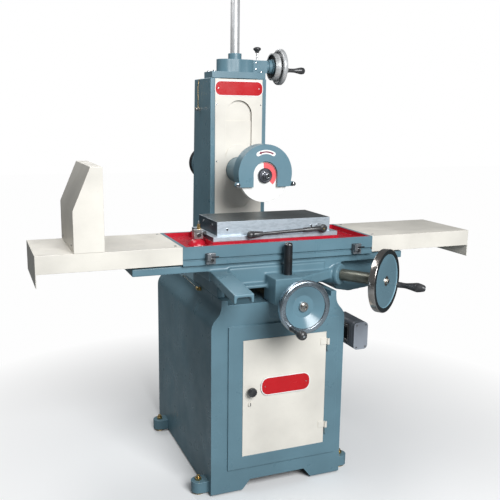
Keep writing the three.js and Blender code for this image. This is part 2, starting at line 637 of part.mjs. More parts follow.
// One clamp flange on each side of the wheel.
add('wheel_flange_front', turned('y', [
  [16, WHEEL.front - 14], [24, WHEEL.front - 14], [27.5, WHEEL.front - 10], [27.5, WHEEL.front - GAP],
  [16, WHEEL.front - GAP], [16, WHEEL.front - 14],
], 0, SPINDLE_Z, 40), blackOxide);
add('wheel_flange_rear', turned('y', [
  [17.4, WHEEL.back + GAP], [32, WHEEL.back + GAP], [32, WHEEL.back + 12], [17.4, WHEEL.back + 12],
  [17.4, WHEEL.back + GAP],
], 0, SPINDLE_Z, 40), blackOxide);
add('wheel_nut', cut(
  hexagon('y', 15, -36, WHEEL.front - 14 - GAP, 0, SPINDLE_Z),
  rod('y', NOSE + 0.4, -40, 0, 0, SPINDLE_Z, 24),
), blackOxide);
add('grinding_wheel', turned('y', [
  [WHEEL.bore, WHEEL.front], [WHEEL.radius - 1, WHEEL.front], [WHEEL.radius, WHEEL.front + 1],
  [WHEEL.radius, WHEEL.back - 1], [WHEEL.radius - 1, WHEEL.back], [WHEEL.bore, WHEEL.back],
  [WHEEL.bore, WHEEL.front],
], 0, SPINDLE_Z, 72), abrasive);

// ---------------------------------------------------------------- wheel guard
const EAR = { x: 112, z: 1138, radius: 9 };

function guardOutline(radius, bottom) {
  const drop = GUARD.centreZ - bottom;
  const angle = Math.asin(drop / radius);
  const shape = new THREE.Shape();
  shape.moveTo(-radius * Math.cos(angle), bottom);
  shape.lineTo(radius * Math.cos(angle), bottom);
  shape.absarc(0, GUARD.centreZ, radius, -angle, Math.PI + angle, false);
  shape.closePath();
  return shape;
}

const ears = (y0, y1) => [-1, 1].map((side) => join(
  rod('y', EAR.radius, y0, y1, side * EAR.x, EAR.z, 20),
  box(side > 0 ? 90 : -EAR.x, side > 0 ? EAR.x : -90, y0, y1, EAR.z - EAR.radius, EAR.z + EAR.radius),
));

add('wheel_guard', cut(
  join(prismY(guardOutline(GUARD.radius, GUARD.bottomZ), GUARD.front, GUARD.back, 24),
    ...ears(GUARD.front, GUARD.front + 8)),
  prismY(guardOutline(GUARD.radius - GUARD.wall, GUARD.bottomZ - 20), GUARD.front - 5,
    GUARD.back - GUARD.wall, 24),
  rod('y', 36, 0, GUARD.back + 10, 0, SPINDLE_Z, 32),
  ...[-1, 1].map((side) => rod('y', 3.5, GUARD.front - 5, GUARD.front + 20, side * EAR.x, EAR.z, 16)),
), bluePaint);

function makeGuardCover() {
  const back = GUARD.front - GAP;
  const front = back - 3;
  const arch = new THREE.Shape();
  arch.moveTo(-CUTOUT.halfWidth, GUARD.bottomZ - 10);
  arch.lineTo(CUTOUT.halfWidth, GUARD.bottomZ - 10);
  arch.lineTo(CUTOUT.halfWidth, CUTOUT.centreZ);
  arch.absarc(0, CUTOUT.centreZ, CUTOUT.halfWidth, 0, Math.PI, false);
  arch.closePath();
  return cut(
    join(prismY(guardOutline(GUARD.radius, GUARD.bottomZ), front, back, 24), ...ears(front, back)),
    prismY(arch, front - 5, back + 5, 16),
    ...[-1, 1].map((side) => rod('y', 3.5, front - 5, back + 5, side * EAR.x, EAR.z, 16)),
  );
}
add('wheel_guard_cover', makeGuardCover(), bluePaint);

for (const [side, name] of [[-1, 'guard_knob_left'], [1, 'guard_knob_right']]) {
  const front = GUARD.front - GAP - 3 - GAP;
  add(name, join(
    rod('y', 7.5, front - 13, front, side * EAR.x, EAR.z, 20),
    rod('y', 3, front - 2, GUARD.front + 12, side * EAR.x, EAR.z, 16),
  ), chrome);
}

// ---------------------------------------------------------------- saddle
const driveDir = new THREE.Vector2(Math.cos(rad(DRIVE.angle)), -Math.sin(rad(DRIVE.angle)));
// Place a shape drawn facing -Y, its face at y = 0, on the drive shaft 'out' millimetres from the saddle.
function onDrive(geometry, out) {
  geometry.rotateZ(rad(90 - DRIVE.angle));
  return geometry.translate(DRIVE.x + driveDir.x * out, DRIVE.y + driveDir.y * out, DRIVE.z);
}

function saddleBed() {
  const { halfDepth, wingBottom, top } = SADDLE;
  return prismX(outline([
    [-halfDepth, wingBottom], [halfDepth, wingBottom], [halfDepth, top], [RACK_SLOT.y1, top],
    [RACK_SLOT.y1, RACK_SLOT.floor], [RACK_SLOT.y0, RACK_SLOT.floor], [RACK_SLOT.y0, top],
    [VEE.y + VEE.halfWidth, top], [VEE.y, top + VEE.height], [VEE.y - VEE.halfWidth, top], [-halfDepth, top],
  ]), -SADDLE.wing, SADDLE.wing);
}

function saddleArm() {
  const { x0, x1, front, topBack, topFront, thickness, skin } = ARM;
  const back = -SADDLE.halfDepth + 5;
  const side = (lift, y0, y1) => outline([
    [y0, topFront - lift], [y1, topBack - lift],
    [y1, topBack - thickness - 10], [y0, topFront - thickness - (lift ? 10 : 0)],
  ]);
  return cut(
    prismX(outline([
      [front, topFront], [back, topBack], [back, topBack - thickness], [front, topFront - thickness],
    ]), x0, x1),
    prismX(side(12, front - 5, back + 5), x0 + skin, x1 - skin),
  );
}

function makeSaddle() {
  const legs = [
    box(-LEG.outer, -LEG.inner, -SADDLE.halfDepth, CORE.back, SADDLE.legBottom, LEG.top),
    box(LEG.inner, LEG.outer, LEG.rightFront, CORE.back, SADDLE.legBottom, LEG.top),
  ];
  const body = join(
    saddleBed(),
    box(CORE.x0, CORE.x1, -SADDLE.halfDepth, CORE.back, CORE.bottom, SADDLE.wingBottom + 2),
    box(-190, 190, -152, -130, 784, SADDLE.wingBottom + 8),
    box(-195, -45, -180, -145, 784, 797),
    box(-BLOCK.halfWidth, BLOCK.halfWidth, BLOCK.front, -140, BLOCK.bottom, BLOCK.top),
    rod('y', 21, BLOCK.front - 14, BLOCK.front + 5, 0, CROSS_Z, 32),
    ...legs,
    saddleArm(),
    onDrive(rod('y', BARREL.collar, -2, 12, 0, 0, 36), 0),
    onDrive(rod('y', BARREL.radius, 5, BARREL.length, 0, 0, 36, BARREL.endRadius), 0),
    prismZ(outline([[45, -240], [45, -140], [215, -60], [232, -120], [222, -150]]), 789, 826),
    prismY(outline([
      [236, 852], [236, 775], [275, 730], [330, 719], [420, 729], [500, 800], [530, 852],
    ]), -95, 60),
  );
  return cut(
    body,
    box(-CAVITY.halfWidth, CAVITY.halfWidth, CAVITY.front, CORE.back + 50,
      SADDLE.legBottom - 48, CAVITY.roof),
    box(88, 192, -8, 60, 830, 862),
    rod('y', 12.7, BLOCK.front - 40, 0, 0, CROSS_Z, 28),
    box(-BLOCK.halfWidth + 5, BLOCK.halfWidth - 5, -200, -100, BLOCK.bottom - 5, 780),
    onDrive(rod('y', 14.6, -30, 260, 0, 0, 24), 0),
    onDrive(rod('y', 60, 160, 260, 0, 0, 36), 0),
    rod('z', 6, BLOCK.top - 20, BLOCK.top + 5, POST.x, POST.y, 16),
  );
}
add('saddle', makeSaddle(), bluePaint);

add('table_stop_post', join(
  turned('z', [
    [0, BLOCK.top + GAP], [POST.radius, BLOCK.top + GAP], [POST.radius, POST.top - 6],
    [POST.radius - 5, POST.top], [0, POST.top],
  ], POST.x, POST.y, 28),
  rod('z', 5.6, BLOCK.top - 18, BLOCK.top + 5, POST.x, POST.y, 16),
), blackOxide);

// ---------------------------------------------------------------- cross feed
const CROSS_PIN = { radius: 84, angle: rad(231) };
const CROSS_SCREW_BACK = 150;
add('cross_feed_screw', rod('y', 11.6, CROSS_WHEEL.front + 9, CROSS_SCREW_BACK, 0, CROSS_Z, 24), steel);
add('cross_feed_nut', cut(
  join(
    box(-32, 32, 20, 60, CROSS_Z - 18, CROSS_Z + 24),
    box(-50, 50, 15, 65, BASE.deck + GAP, BASE.deck + 12),
  ),
  rod('y', 12.2, 0, 80, 0, CROSS_Z, 28),
), brass);
const DIAL_BACK = BLOCK.front - 14 - 2;
add('cross_feed_dial', turned('y', [
  [12.2, DIAL_BACK - 62], [30, DIAL_BACK - 62], [44, DIAL_BACK - 48], [44, DIAL_BACK - 26],
  [24, DIAL_BACK - 14], [24, DIAL_BACK], [12.2, DIAL_BACK], [12.2, DIAL_BACK - 62],
], 0, CROSS_Z, 48), blackOxide);

add('cross_feed_handwheel', handwheel({
  radius: CROSS_WHEEL.radius, rim: 19, depth: 26, hub: { radius: 17, proud: 3 }, hubDepth: 50,
  dish: 9, bore: 12.2, pinRadius: CROSS_PIN.radius, pinAngle: CROSS_PIN.angle, pinReach: 26,
}).translate(0, CROSS_WHEEL.front, CROSS_Z), chrome);
add('cross_feed_handle', grip(95, 8, 16.5, 5, 30).translate(
  CROSS_PIN.radius * Math.cos(CROSS_PIN.angle), CROSS_WHEEL.front - GRIP_GAP,
  CROSS_Z + CROSS_PIN.radius * Math.sin(CROSS_PIN.angle),
), blackPlastic);

// ---------------------------------------------------------------- table feed
const TABLE_PIN = { radius: 107, angle: rad(-18) };
add('table_drive_shaft', join(
  onDrive(rod('y', 14, 9 - DRIVE.reach, DRIVE_GEAR.back + 6, 0, 0, 24), 0),
  onDrive(rod('y', 22, 44 - DRIVE.reach, -4, 0, 0, 28), 0),
  onDrive(gear('y', DRIVE_GEAR.tipRadius, DRIVE_GEAR.rootRadius, DRIVE_GEAR.teeth,
    DRIVE_GEAR.back - DRIVE_GEAR.face / 2, DRIVE_GEAR.back + DRIVE_GEAR.face / 2, 0), 0),
), steel);
add('table_handwheel', onDrive(handwheel({
  radius: DRIVE.radius, rim: 18, depth: 25, hub: { radius: 19, proud: 3 }, hubDepth: 42,
  dish: 4, bore: 14.6, pinRadius: TABLE_PIN.radius, pinAngle: TABLE_PIN.angle, pinReach: 26,
}), DRIVE.reach), chrome);
add('table_handle', onDrive(grip(105, 8, 16.5, 5, 30).translate(
  TABLE_PIN.radius * Math.cos(TABLE_PIN.angle), -GRIP_GAP, TABLE_PIN.radius * Math.sin(TABLE_PIN.angle),
), DRIVE.reach), blackPlastic);

// ---------------------------------------------------------------- table
const CLAMP_SPOT = { x: -270, y: -34 };

function makeTable() {
  const { x0, x1, halfDepth, bottom, top, rim, tray } = TABLE;
  const veeGap = 0.6;
  const section = prismX(outline([
    [-halfDepth, bottom], [VEE.y - VEE.halfWidth - veeGap * 2, bottom],
    [VEE.y, SADDLE.top + VEE.height + veeGap * 2], [VEE.y + VEE.halfWidth + veeGap * 2, bottom],
    [halfDepth, bottom], [halfDepth, top], [-halfDepth, top], [-halfDepth, TEE.z1],
    [-halfDepth + TEE.depth, TEE.z1], [-halfDepth + TEE.depth, TEE.z0], [-halfDepth, TEE.z0],
  ]), x0, x1);
  const hollow = cut(
    section,
    box(x0 + rim, x1 - rim, -halfDepth + rim, halfDepth - rim, tray, top + 5),
  );
  return join(
    hollow,
    box(SEAT.x0, SEAT.x1, -SEAT.halfDepth, SEAT.halfDepth, tray - 5, SEAT.top),
    turned('z', [
      [0, tray - 5], [36, tray - 5], [34, tray + 6], [24, tray + 18], [14, tray + 24], [0, tray + 24],
    ], CLAMP_SPOT.x - 2, CLAMP_SPOT.y, 28),
  );
}
add('table', makeTable(), bluePaint);

// Rack with its teeth facing down over the drive gear. The gear's axis is skewed to the table's travel,
// so one tooth of the gear moves the table by its circular pitch times the sine of the shaft's angle.
function makeRack() {
  const x0 = -320;
  const x1 = 325;
  const circularPitch = (2 * Math.PI * DRIVE_GEAR.pitchRadius) / DRIVE_GEAR.teeth;
  const pitch = circularPitch * Math.sin(rad(DRIVE.angle));
  const tip = 860.5;
  const root = 866;
  const top = TABLE.bottom - GAP;
  const count = Math.floor((x1 - x0) / pitch);
  const points = [[x0, top], [x0, root]];
  for (let i = 0; i < count; i += 1) {
    const x = x0 + i * pitch;
    points.push([x + pitch * 0.2, root], [x + pitch * 0.36, tip]);
    points.push([x + pitch * 0.64, tip], [x + pitch * 0.8, root]);
  }
  points.push([x1, root], [x1, top]);
  return prismY(outline(points), 12, 38);
}
add('table_rack', makeRack(), steel);

// ---------------------------------------------------------------- end guards and splash hood
function endGuard(inner, outer) {
  const low = Math.min(inner, outer);
  const high = Math.max(inner, outer);
  const d = TABLE.halfDepth;
  const { top } = TABLE;
  const end = outer < inner ? [outer, outer + SHEET] : [outer - SHEET, outer];
  return join(
    box(low, high, -d, d, top - SHEET, top),
    box(low, high, -d, -d + SHEET, top - END_GUARD.skirt, top),
    box(low, high, d - SHEET, d, top - END_GUARD.skirt, top),
    box(end[0], end[1], -d, d, top - END_GUARD.endSkirt, top),
  );
}
add('table_guard_left', endGuard(TABLE.x0 - GAP, END_GUARD.left), creamPaint);
add('table_guard_right', endGuard(TABLE.x1 + GAP, END_GUARD.right), creamPaint);

const hoodOutline = (inset) => outline([
  [HOOD.x0 + inset, TABLE.top + GAP + inset], [HOOD.x0 + inset, HOOD.shoulder],
  [HOOD.xTop + inset * 0.8, HOOD.top - inset], [HOOD.x1 + inset * 2, HOOD.top - inset],
  [HOOD.x1 + inset * 2, TABLE.top + GAP + inset],
]);
add('splash_hood', cut(
  prismY(hoodOutline(0), -TABLE.halfDepth, TABLE.halfDepth),
  prismY(hoodOutline(SHEET), -TABLE.halfDepth + SHEET, TABLE.halfDepth - SHEET),
), creamPaint);

// ---------------------------------------------------------------- magnetic chuck
add('magnetic_chuck', cut(
  join(
    box(CHUCK.x0 - CHUCK.flange, CHUCK.x1 + CHUCK.flange, -CHUCK.halfDepth - CHUCK.flange,
      CHUCK.halfDepth + CHUCK.flange, SEAT.top + GAP, CHUCK.flangeTop),
    box(CHUCK.x0, CHUCK.x1, -CHUCK.halfDepth, CHUCK.halfDepth, CHUCK.flangeTop - 2, CHUCK.top),
  ),
  rod('y', 10.4, -CHUCK.halfDepth - 10, -CHUCK.halfDepth + 20, LEVER.x, LEVER.z, 24),
), groundSteel);

function makeLever() {
  const hub = turned('y', [
    [0, LEVER.y - 10], [13, LEVER.y - 10], [15.5, LEVER.y - 6],
    [15.5, -CHUCK.halfDepth - CHUCK.flange - 2], [13.5, -CHUCK.halfDepth - CHUCK.flange],
    [13.5, -CHUCK.halfDepth - GAP], [0, -CHUCK.halfDepth - GAP],
  ], LEVER.x, LEVER.z, 24);
  const arm = join(
    rod('x', 9.5, -84, -10, 0, 0, 20),
    rod('x', 5, -LEVER.length + 50, -70, 0, 0, 16),
    turned('x', [
      [0, -LEVER.length], [8, -LEVER.length + 1], [13, -LEVER.length + 6], [14, -LEVER.length + 13],
      [13, -LEVER.length + 21], [9.5, -LEVER.length + 58], [0, -LEVER.length + 60],
    ], 0, 0, 20),
  ).rotateY(-rad(LEVER.droop)).translate(LEVER.x, LEVER.y, LEVER.z);
  return join(hub, arm, rod('y', 10, -CHUCK.halfDepth - 5, -CHUCK.halfDepth + 15, LEVER.x, LEVER.z, 24));
}
add('chuck_lever', makeLever(), blackPlastic);

add('coolant_clamp', join(
  box(CLAMP_SPOT.x - 18, CLAMP_SPOT.x + 16, CLAMP_SPOT.y - 12, CLAMP_SPOT.y + 14,
    TABLE.tray + 24 + GAP, 985),
  rod('z', 5.5, 983, 996, CLAMP_SPOT.x + 4, CLAMP_SPOT.y + 2, 16),
  rod('z', 3.4, 990, 1014, CLAMP_SPOT.x + 4, CLAMP_SPOT.y + 2, 16),
  hexagon('y', 6.5, CLAMP_SPOT.y - 16, CLAMP_SPOT.y - 10, CLAMP_SPOT.x, 964),
), steel);

// ---------------------------------------------------------------- table dogs
function makeDog(x) {
  const back = -TABLE.halfDepth - GAP;
  const half = DOG.width / 2;
  return join(
    box(x - half, x + half, back - 15, back, DOG.z0, DOG.z1),
    box(x - half, x - half + 12, DOG.front, back - 10, DOG.z1 - 24, DOG.z1),
    box(x - half + 2, x + half - 2, back - 2, back + TEE.depth - 0.6, TEE.z0 + GAP, TEE.z1 - GAP),
    hexagon('y', 6.5, back - 20, back - 12, x + 3, DOG.z0 + 14),
  );
}
add('table_dog_left', makeDog(DOG.leftX), blackOxide);
add('table_dog_right', makeDog(DOG.rightX), blackOxide);

// ---------------------------------------------------------------- origin at the bottom centre
const bounds = new THREE.Box3().setFromObject(machine);
const middle = bounds.getCenter(new THREE.Vector3());
machine.position.set(-middle.x, -middle.y, -bounds.min.z);
machine.updateMatrixWorld(true);

export default machine;
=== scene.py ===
"""Looks of a manual surface grinder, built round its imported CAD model. Lengths are in metres."""
import json
import math

import bmesh
import bpy
from mathutils import Matrix, Vector


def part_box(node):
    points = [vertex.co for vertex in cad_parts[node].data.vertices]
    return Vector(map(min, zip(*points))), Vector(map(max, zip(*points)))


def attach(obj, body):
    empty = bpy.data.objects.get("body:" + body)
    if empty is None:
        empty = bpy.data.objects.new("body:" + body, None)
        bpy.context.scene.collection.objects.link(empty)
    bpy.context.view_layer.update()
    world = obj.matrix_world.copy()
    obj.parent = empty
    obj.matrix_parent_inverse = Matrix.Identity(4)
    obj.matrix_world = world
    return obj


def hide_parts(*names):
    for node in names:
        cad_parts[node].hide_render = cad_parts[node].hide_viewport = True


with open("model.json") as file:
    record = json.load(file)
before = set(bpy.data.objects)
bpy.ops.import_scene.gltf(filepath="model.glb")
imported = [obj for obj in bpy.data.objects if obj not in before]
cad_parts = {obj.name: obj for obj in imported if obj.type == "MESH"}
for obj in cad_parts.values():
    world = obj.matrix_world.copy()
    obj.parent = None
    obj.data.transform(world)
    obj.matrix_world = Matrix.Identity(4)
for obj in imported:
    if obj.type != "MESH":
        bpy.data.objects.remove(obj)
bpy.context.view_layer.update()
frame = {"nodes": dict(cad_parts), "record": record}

UP = Vector((0, 0, 1))
FRONT = Vector((0, -1, 0))  # towards the operator
RIGHT = Vector((1, 0, 0))
BACK = -FRONT
LEFT = -RIGHT

BEHAVIOUR = frame["record"]["behaviour"]
BODY_OF = {node: body for body, nodes in BEHAVIOUR["bodies"].items() for node in nodes}
SLOT_OF = {part["node"]: part["material_slot"] for part in frame["record"]["subparts"]}
JOINTS = {joint["name"]: joint for joint in BEHAVIOUR["joints"]}


def pivot(joint):
    """Where a hinge's axis passes, at rest."""
    return Vector(JOINTS[joint]["pos_m"])


# ---- materials
class Surface:
    """A Principled material with helpers for the nodes that vary it. Noise runs in the row's metres."""

    def __init__(self, name, colour, roughness, metallic=0.0):
        self.material = bpy.data.materials.new(name)
        self.material.use_nodes = True
        self.material.diffuse_color = (*colour, 1)
        self.tree = self.material.node_tree
        self.shader = self.tree.nodes["Principled BSDF"]
        self.shader.inputs["Base Color"].default_value = (*colour, 1)
        self.shader.inputs["Roughness"].default_value = roughness
        self.shader.inputs["Metallic"].default_value = metallic
        self.place = self.node("ShaderNodeTexCoord").outputs["Object"]

    def node(self, kind, **settings):
        made = self.tree.nodes.new(kind)
        for key, value in settings.items():
            setattr(made, key, value)
        return made

    def feed(self, socket, value):
        if isinstance(value, bpy.types.NodeSocket):
            self.tree.links.new(value, socket)
        else:
            socket.default_value = value

    def noise(self, size, detail, stretch=(1, 1, 1)):
        """Noise with features about 'size' metres across, drawn out along an axis by 'stretch'."""
        mapping = self.node("ShaderNodeMapping")
        self.feed(mapping.inputs["Vector"], self.place)
        mapping.inputs["Scale"].default_value = tuple(1 / s for s in stretch)
        texture = self.node("ShaderNodeTexNoise")
        self.feed(texture.inputs["Vector"], mapping.outputs["Vector"])
        texture.inputs["Scale"].default_value = 1 / size
        texture.inputs["Detail"].default_value = detail
        return texture.outputs["Fac"]

    def spread(self, value, low, high, start=0.3, stop=0.7):
        """Maps a value from start..stop onto low..high."""
        node = self.node("ShaderNodeMapRange")
        self.feed(node.inputs["Value"], value)
        for key, number in zip(("From Min", "From Max", "To Min", "To Max"), (start, stop, low, high)):
            node.inputs[key].default_value = number
        return node.outputs["Result"]

    def math(self, operation, a, b=0.0):
        node = self.node("ShaderNodeMath", operation=operation)
        self.feed(node.inputs[0], a)
        self.feed(node.inputs[1], b)
        return node.outputs[0]

    def blend(self, amount, first, second):
        """Colour between two colours, or sockets of colour."""
        node = self.node("ShaderNodeMix", data_type="RGBA")
        self.feed(node.inputs[0], amount)
        for socket, value in zip(node.inputs[6:8], (first, second)):
            self.feed(socket, value if isinstance(value, bpy.types.NodeSocket) else (*value, 1))
        return node.outputs[2]

    def colour(self, value):
        self.feed(self.shader.inputs["Base Color"], value)

    def rough(self, value):
        self.feed(self.shader.inputs["Roughness"], value)

    def bump(self, height, depth, strength):
        node = self.node("ShaderNodeBump")
        self.feed(node.inputs["Height"], height)
        node.inputs["Distance"].default_value = depth
        node.inputs["Strength"].default_value = strength
        if self.shader.inputs["Normal"].links:
            self.feed(node.inputs["Normal"], self.shader.inputs["Normal"].links[0].from_socket)
        self.feed(self.shader.inputs["Normal"], node.outputs["Normal"])


def shade(colour, factor):
    return tuple(min(1.0, c * factor) for c in colour)


def paint(name, colour, roughness=0.3, peel=1.0):
    """Sprayed enamel: slow changes of tone, fine orange peel, and a film of workshop dust in the gloss."""
    surface = Surface(name, colour, roughness)
    slow = surface.spread(surface.noise(0.22, 4), 0, 1)
    tone = surface.blend(slow, shade(colour, 0.86), shade(colour, 1.1))
    speck = surface.spread(surface.noise(0.006, 2), 0, 0.14, 0.62, 0.75)
    surface.colour(surface.blend(speck, tone, shade(colour, 0.78)))
    surface.rough(surface.spread(surface.noise(0.07, 5), roughness * 0.8, roughness * 1.45))
    surface.bump(surface.noise(0.0045, 1), 0.00035 * peel, 0.35)
    return surface.material


def worn_highlit_edge(name, colour, under, threshold):
    """Paint on an edge: lighter than the colour given, as a painted highlight, and chipped where the noise is
    above the threshold.
    """
    # 1.3 times the colour given: a painted highlight on the rounded edges; the chips show real wear
    surface = Surface(name, shade(colour, 1.3), 0.34)
    chip = surface.spread(surface.noise(0.012, 5), 0, 1, threshold, threshold + 0.04)
    surface.colour(surface.blend(chip, shade(colour, 1.3), under))
    surface.feed(surface.shader.inputs["Metallic"], surface.spread(chip, 0, 0.7, 0, 1))
    surface.bump(chip, -0.0002, 0.6)
    return surface.material


def turned_metal(name, colour, roughness, tarnish, metallic=1.0, relief=0.3):
    """Machined metal: fine tool marks as strong as 'relief', handling marks and patchy tarnish."""
    surface = Surface(name, colour, roughness, metallic)
    patch = surface.spread(surface.noise(0.05, 5), 0, 1, 0.42, 0.72)
    surface.colour(surface.blend(patch, colour, tarnish))
    marks = surface.noise(0.0012, 2)
    cut = surface.spread(marks, roughness * (1 - relief * 0.7), roughness * (1 + relief))
    smear = surface.spread(surface.noise(0.03, 4), 0.8, 1.35)
    surface.rough(surface.math("MULTIPLY", cut, smear))
    surface.bump(marks, 0.00012, relief)
    return surface.material


def pole_face():
    """Ground top of the magnetic chuck: lengthwise grinding marks over thin brass seams between its poles."""
    steel = (0.3, 0.325, 0.335)
    surface = Surface("chuck_pole_face", steel, 0.33, 1.0)
    split = surface.node("ShaderNodeSeparateXYZ")
    surface.feed(split.inputs[0], surface.place)
    pitch = 0.0125
    step = surface.math("FRACT", surface.math("DIVIDE", split.outputs["X"], pitch))
    seam = surface.math("LESS_THAN", surface.math("ABSOLUTE", surface.math("SUBTRACT", step, 0.5)), 0.05)
    tone = surface.blend(surface.spread(surface.noise(0.08, 4), 0, 1), shade(steel, 0.85), shade(steel, 1.2))
    surface.colour(surface.blend(surface.math("MULTIPLY", seam, 0.5), tone, (0.36, 0.28, 0.15)))
    marks = surface.noise(0.0009, 3, (60, 1, 1))
    surface.rough(surface.spread(marks, 0.24, 0.46))
    surface.bump(marks, 0.0001, 0.35)
    return surface.material


def scraped_steel():
    """Bright milled flanks of the chuck, with the broken shine of a scraped finish."""
    # the bluish tint of both tones is a painted reflection of bluish light
    steel = (0.6, 0.67, 0.73)
    surface = Surface("scraped_steel", steel, 0.3, 0.6)
    flake = surface.noise(0.009, 4, (3, 1, 1))
    surface.colour(surface.blend(surface.spread(flake, 0, 1, 0.45, 0.62), steel, (0.44, 0.5, 0.55)))
    surface.rough(surface.spread(flake, 0.3, 0.48))
    surface.bump(surface.noise(0.0012, 2, (14, 1, 1)), 0.00012, 0.3)
    return surface.material


def abrasive():
    """Vitrified white grit with fine open pores."""
    white = (0.88, 0.87, 0.84)
    surface = Surface("white_grit", white, 0.9)
    grain = surface.noise(0.0011, 2)
    surface.colour(surface.blend(surface.spread(grain, 0, 0.5, 0.3, 0.5), (0.72, 0.71, 0.68), white))
    surface.bump(grain, 0.0005, 0.55)
    return surface.material


def plastic(name, colour, roughness=0.22):
    surface = Surface(name, colour, roughness)
    surface.colour(surface.blend(surface.spread(surface.noise(0.03, 4), 0, 0.12), colour, (0.5, 0.5, 0.5)))
    surface.rough(surface.spread(surface.noise(0.01, 5), roughness * 0.7, roughness * 1.8))
    surface.bump(surface.noise(0.003, 2), 0.0001, 0.25)
    return surface.material


DIVISIONS = 100  # of a feed dial


def graduated(name, centre, across, ground, ink, metallic):
    """Turned band with engraved division lines. 'across' is X or Y, whichever is square to its axis."""
    surface = Surface(name, ground, 0.3, metallic)
    split = surface.node("ShaderNodeSeparateXYZ")
    surface.feed(split.inputs[0], surface.place)
    u = surface.math("SUBTRACT", split.outputs[across], getattr(centre, across.lower()))
    v = surface.math("SUBTRACT", split.outputs["Z"], centre.z)
    turn = surface.math("DIVIDE", surface.math("ARCTAN2", v, u), 2 * math.pi)

    def lines(count, width):
        step = surface.math("FRACT", surface.math("MULTIPLY", surface.math("ADD", turn, 1), count))
        return surface.math("LESS_THAN", step, width)

    mark = surface.math("MAXIMUM", lines(DIVISIONS, 0.2), lines(DIVISIONS / 10, 0.05))
    surface.colour(surface.blend(mark, ground, ink))
    surface.rough(surface.spread(surface.noise(0.004, 3), 0.24, 0.42))
    surface.bump(mark, -0.0001, 0.5)
    return surface.material


BLUE = (0.12, 0.218, 0.268)
CREAM = (0.74, 0.705, 0.635)
RED = (0.47, 0.012, 0.028)
GREY = (0.27, 0.295, 0.335)
PRIMER = (0.32, 0.34, 0.35)
BARE = (0.45, 0.46, 0.47)

blue = paint("blue_enamel", BLUE)
blue_edge = worn_highlit_edge("blue_enamel_edge", BLUE, BARE, 0.7)
blue_gloss = paint("blue_gloss_enamel", BLUE, 0.2, 0.5)
cream = paint("cream_enamel", CREAM, 0.36, 0.7)
cream_edge = worn_highlit_edge("cream_enamel_edge", shade(CREAM, 0.78), PRIMER, 0.76)
red = paint("red_enamel", RED, 0.22)
grey = paint("grey_enamel", GREY, 0.4, 1.6)
grey_edge = worn_highlit_edge("grey_enamel_edge", GREY, BARE, 0.68)
chrome = turned_metal("chrome_plate", (0.78, 0.79, 0.81), 0.15, (0.66, 0.67, 0.7))
# its brownish tint is a painted reflection of brown surroundings
chrome_rim = turned_metal("chrome_rim", (0.6, 0.56, 0.53), 0.17, (0.46, 0.41, 0.37), relief=0.05)
# darker and bluer than plain chrome: a painted reflection of dim, bluish surroundings
cool_chrome = turned_metal("cool_chrome", (0.5, 0.57, 0.63), 0.24, (0.42, 0.49, 0.55), relief=0.04)
nickel = turned_metal("nickel_plate", (0.66, 0.6, 0.53), 0.22, (0.5, 0.43, 0.36))
satin_tube = turned_metal("satin_tube", (0.6, 0.605, 0.61), 0.34, (0.5, 0.5, 0.5), metallic=0.45)
steel = turned_metal("turned_steel", (0.56, 0.57, 0.58), 0.27, (0.4, 0.39, 0.37))
dark_steel = turned_metal("black_oxide", (0.035, 0.038, 0.043), 0.38, (0.075, 0.07, 0.065), metallic=0.75)
bead_blasted = turned_metal("bead_blasted", (0.16, 0.175, 0.19), 0.5, (0.1, 0.105, 0.11), metallic=0.6)
# dark brownish steel: its dark brown tone is painted shade and a painted brown reflection
shaded_brown_steel = turned_metal("shaded_brown_steel", (0.22, 0.225, 0.19), 0.34, (0.12, 0.115, 0.09), metallic=0.7)
brass = turned_metal("machined_brass", (0.66, 0.47, 0.2), 0.25, (0.4, 0.27, 0.12))
pole_steel = pole_face()
bright_steel = scraped_steel()
white_grit = abrasive()
black = plastic("black_phenolic", (0.011, 0.011, 0.013))
gunmetal = turned_metal("gunmetal", (0.11, 0.115, 0.135), 0.33, (0.16, 0.165, 0.18), metallic=0.85)
blotter = plastic("blotter_paper", (0.86, 0.855, 0.83), 0.8)
blotter_red = plastic("blotter_red", (0.8, 0.1, 0.11), 0.7)
plate_red = paint("plate_red", (0.5, 0.005, 0.01), 0.2, 0.3)
ring_black = paint("ring_black", (0.008, 0.012, 0.014), 0.42, 0.4)
# a copy of the blue, 1.5 times lighter: a painted highlight on the step where the table wheel's web meets its
# rim
painted_highlight_line = paint("painted_highlight_line", shade(BLUE, 1.5), 0.3, 0.3)
plate_white = paint("plate_white", (0.85, 0.85, 0.84), 0.25, 0.3)
label_ink = paint("label_ink", (0.19, 0.012, 0.04), 0.3, 0.3)
dark_gap = plastic("shadow_black", (0.004, 0.004, 0.005), 0.6)

FACE_AND_EDGE = {
    "blue_paint": (blue, blue_edge), "cream_paint": (cream, cream_edge), "grey_paint": (grey, grey_edge),
    "black_oxide": (dark_steel, steel), "brass": (brass, brass), "steel": (steel, steel),
    "ground_steel": (bright_steel, bright_steel),
}


# ---- mesh helpers
def new_piece(name, mesh_data, materials, body, slot):
    piece = bpy.data.objects.new(name, mesh_data)
    bpy.context.scene.collection.objects.link(piece)
    for entry in materials:
        mesh_data.materials.append(entry)
    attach(piece, body)
    return piece


def soften(piece, width, segments, angle, edge_material):
    """Round the edges sharper than 'angle' degrees, and smooth the shading up to them."""
    bevel = piece.modifiers.new("bevel", "BEVEL")
    bevel.width = width
    bevel.segments = segments
    bevel.limit_method = "ANGLE"
    bevel.angle_limit = math.radians(angle)
    bevel.use_clamp_overlap = True
    bevel.harden_normals = True
    bevel.material = edge_material
    piece.data.polygons.foreach_set("use_smooth", [True] * len(piece.data.polygons))
    piece.data.set_sharp_from_angle(angle=math.radians(angle))


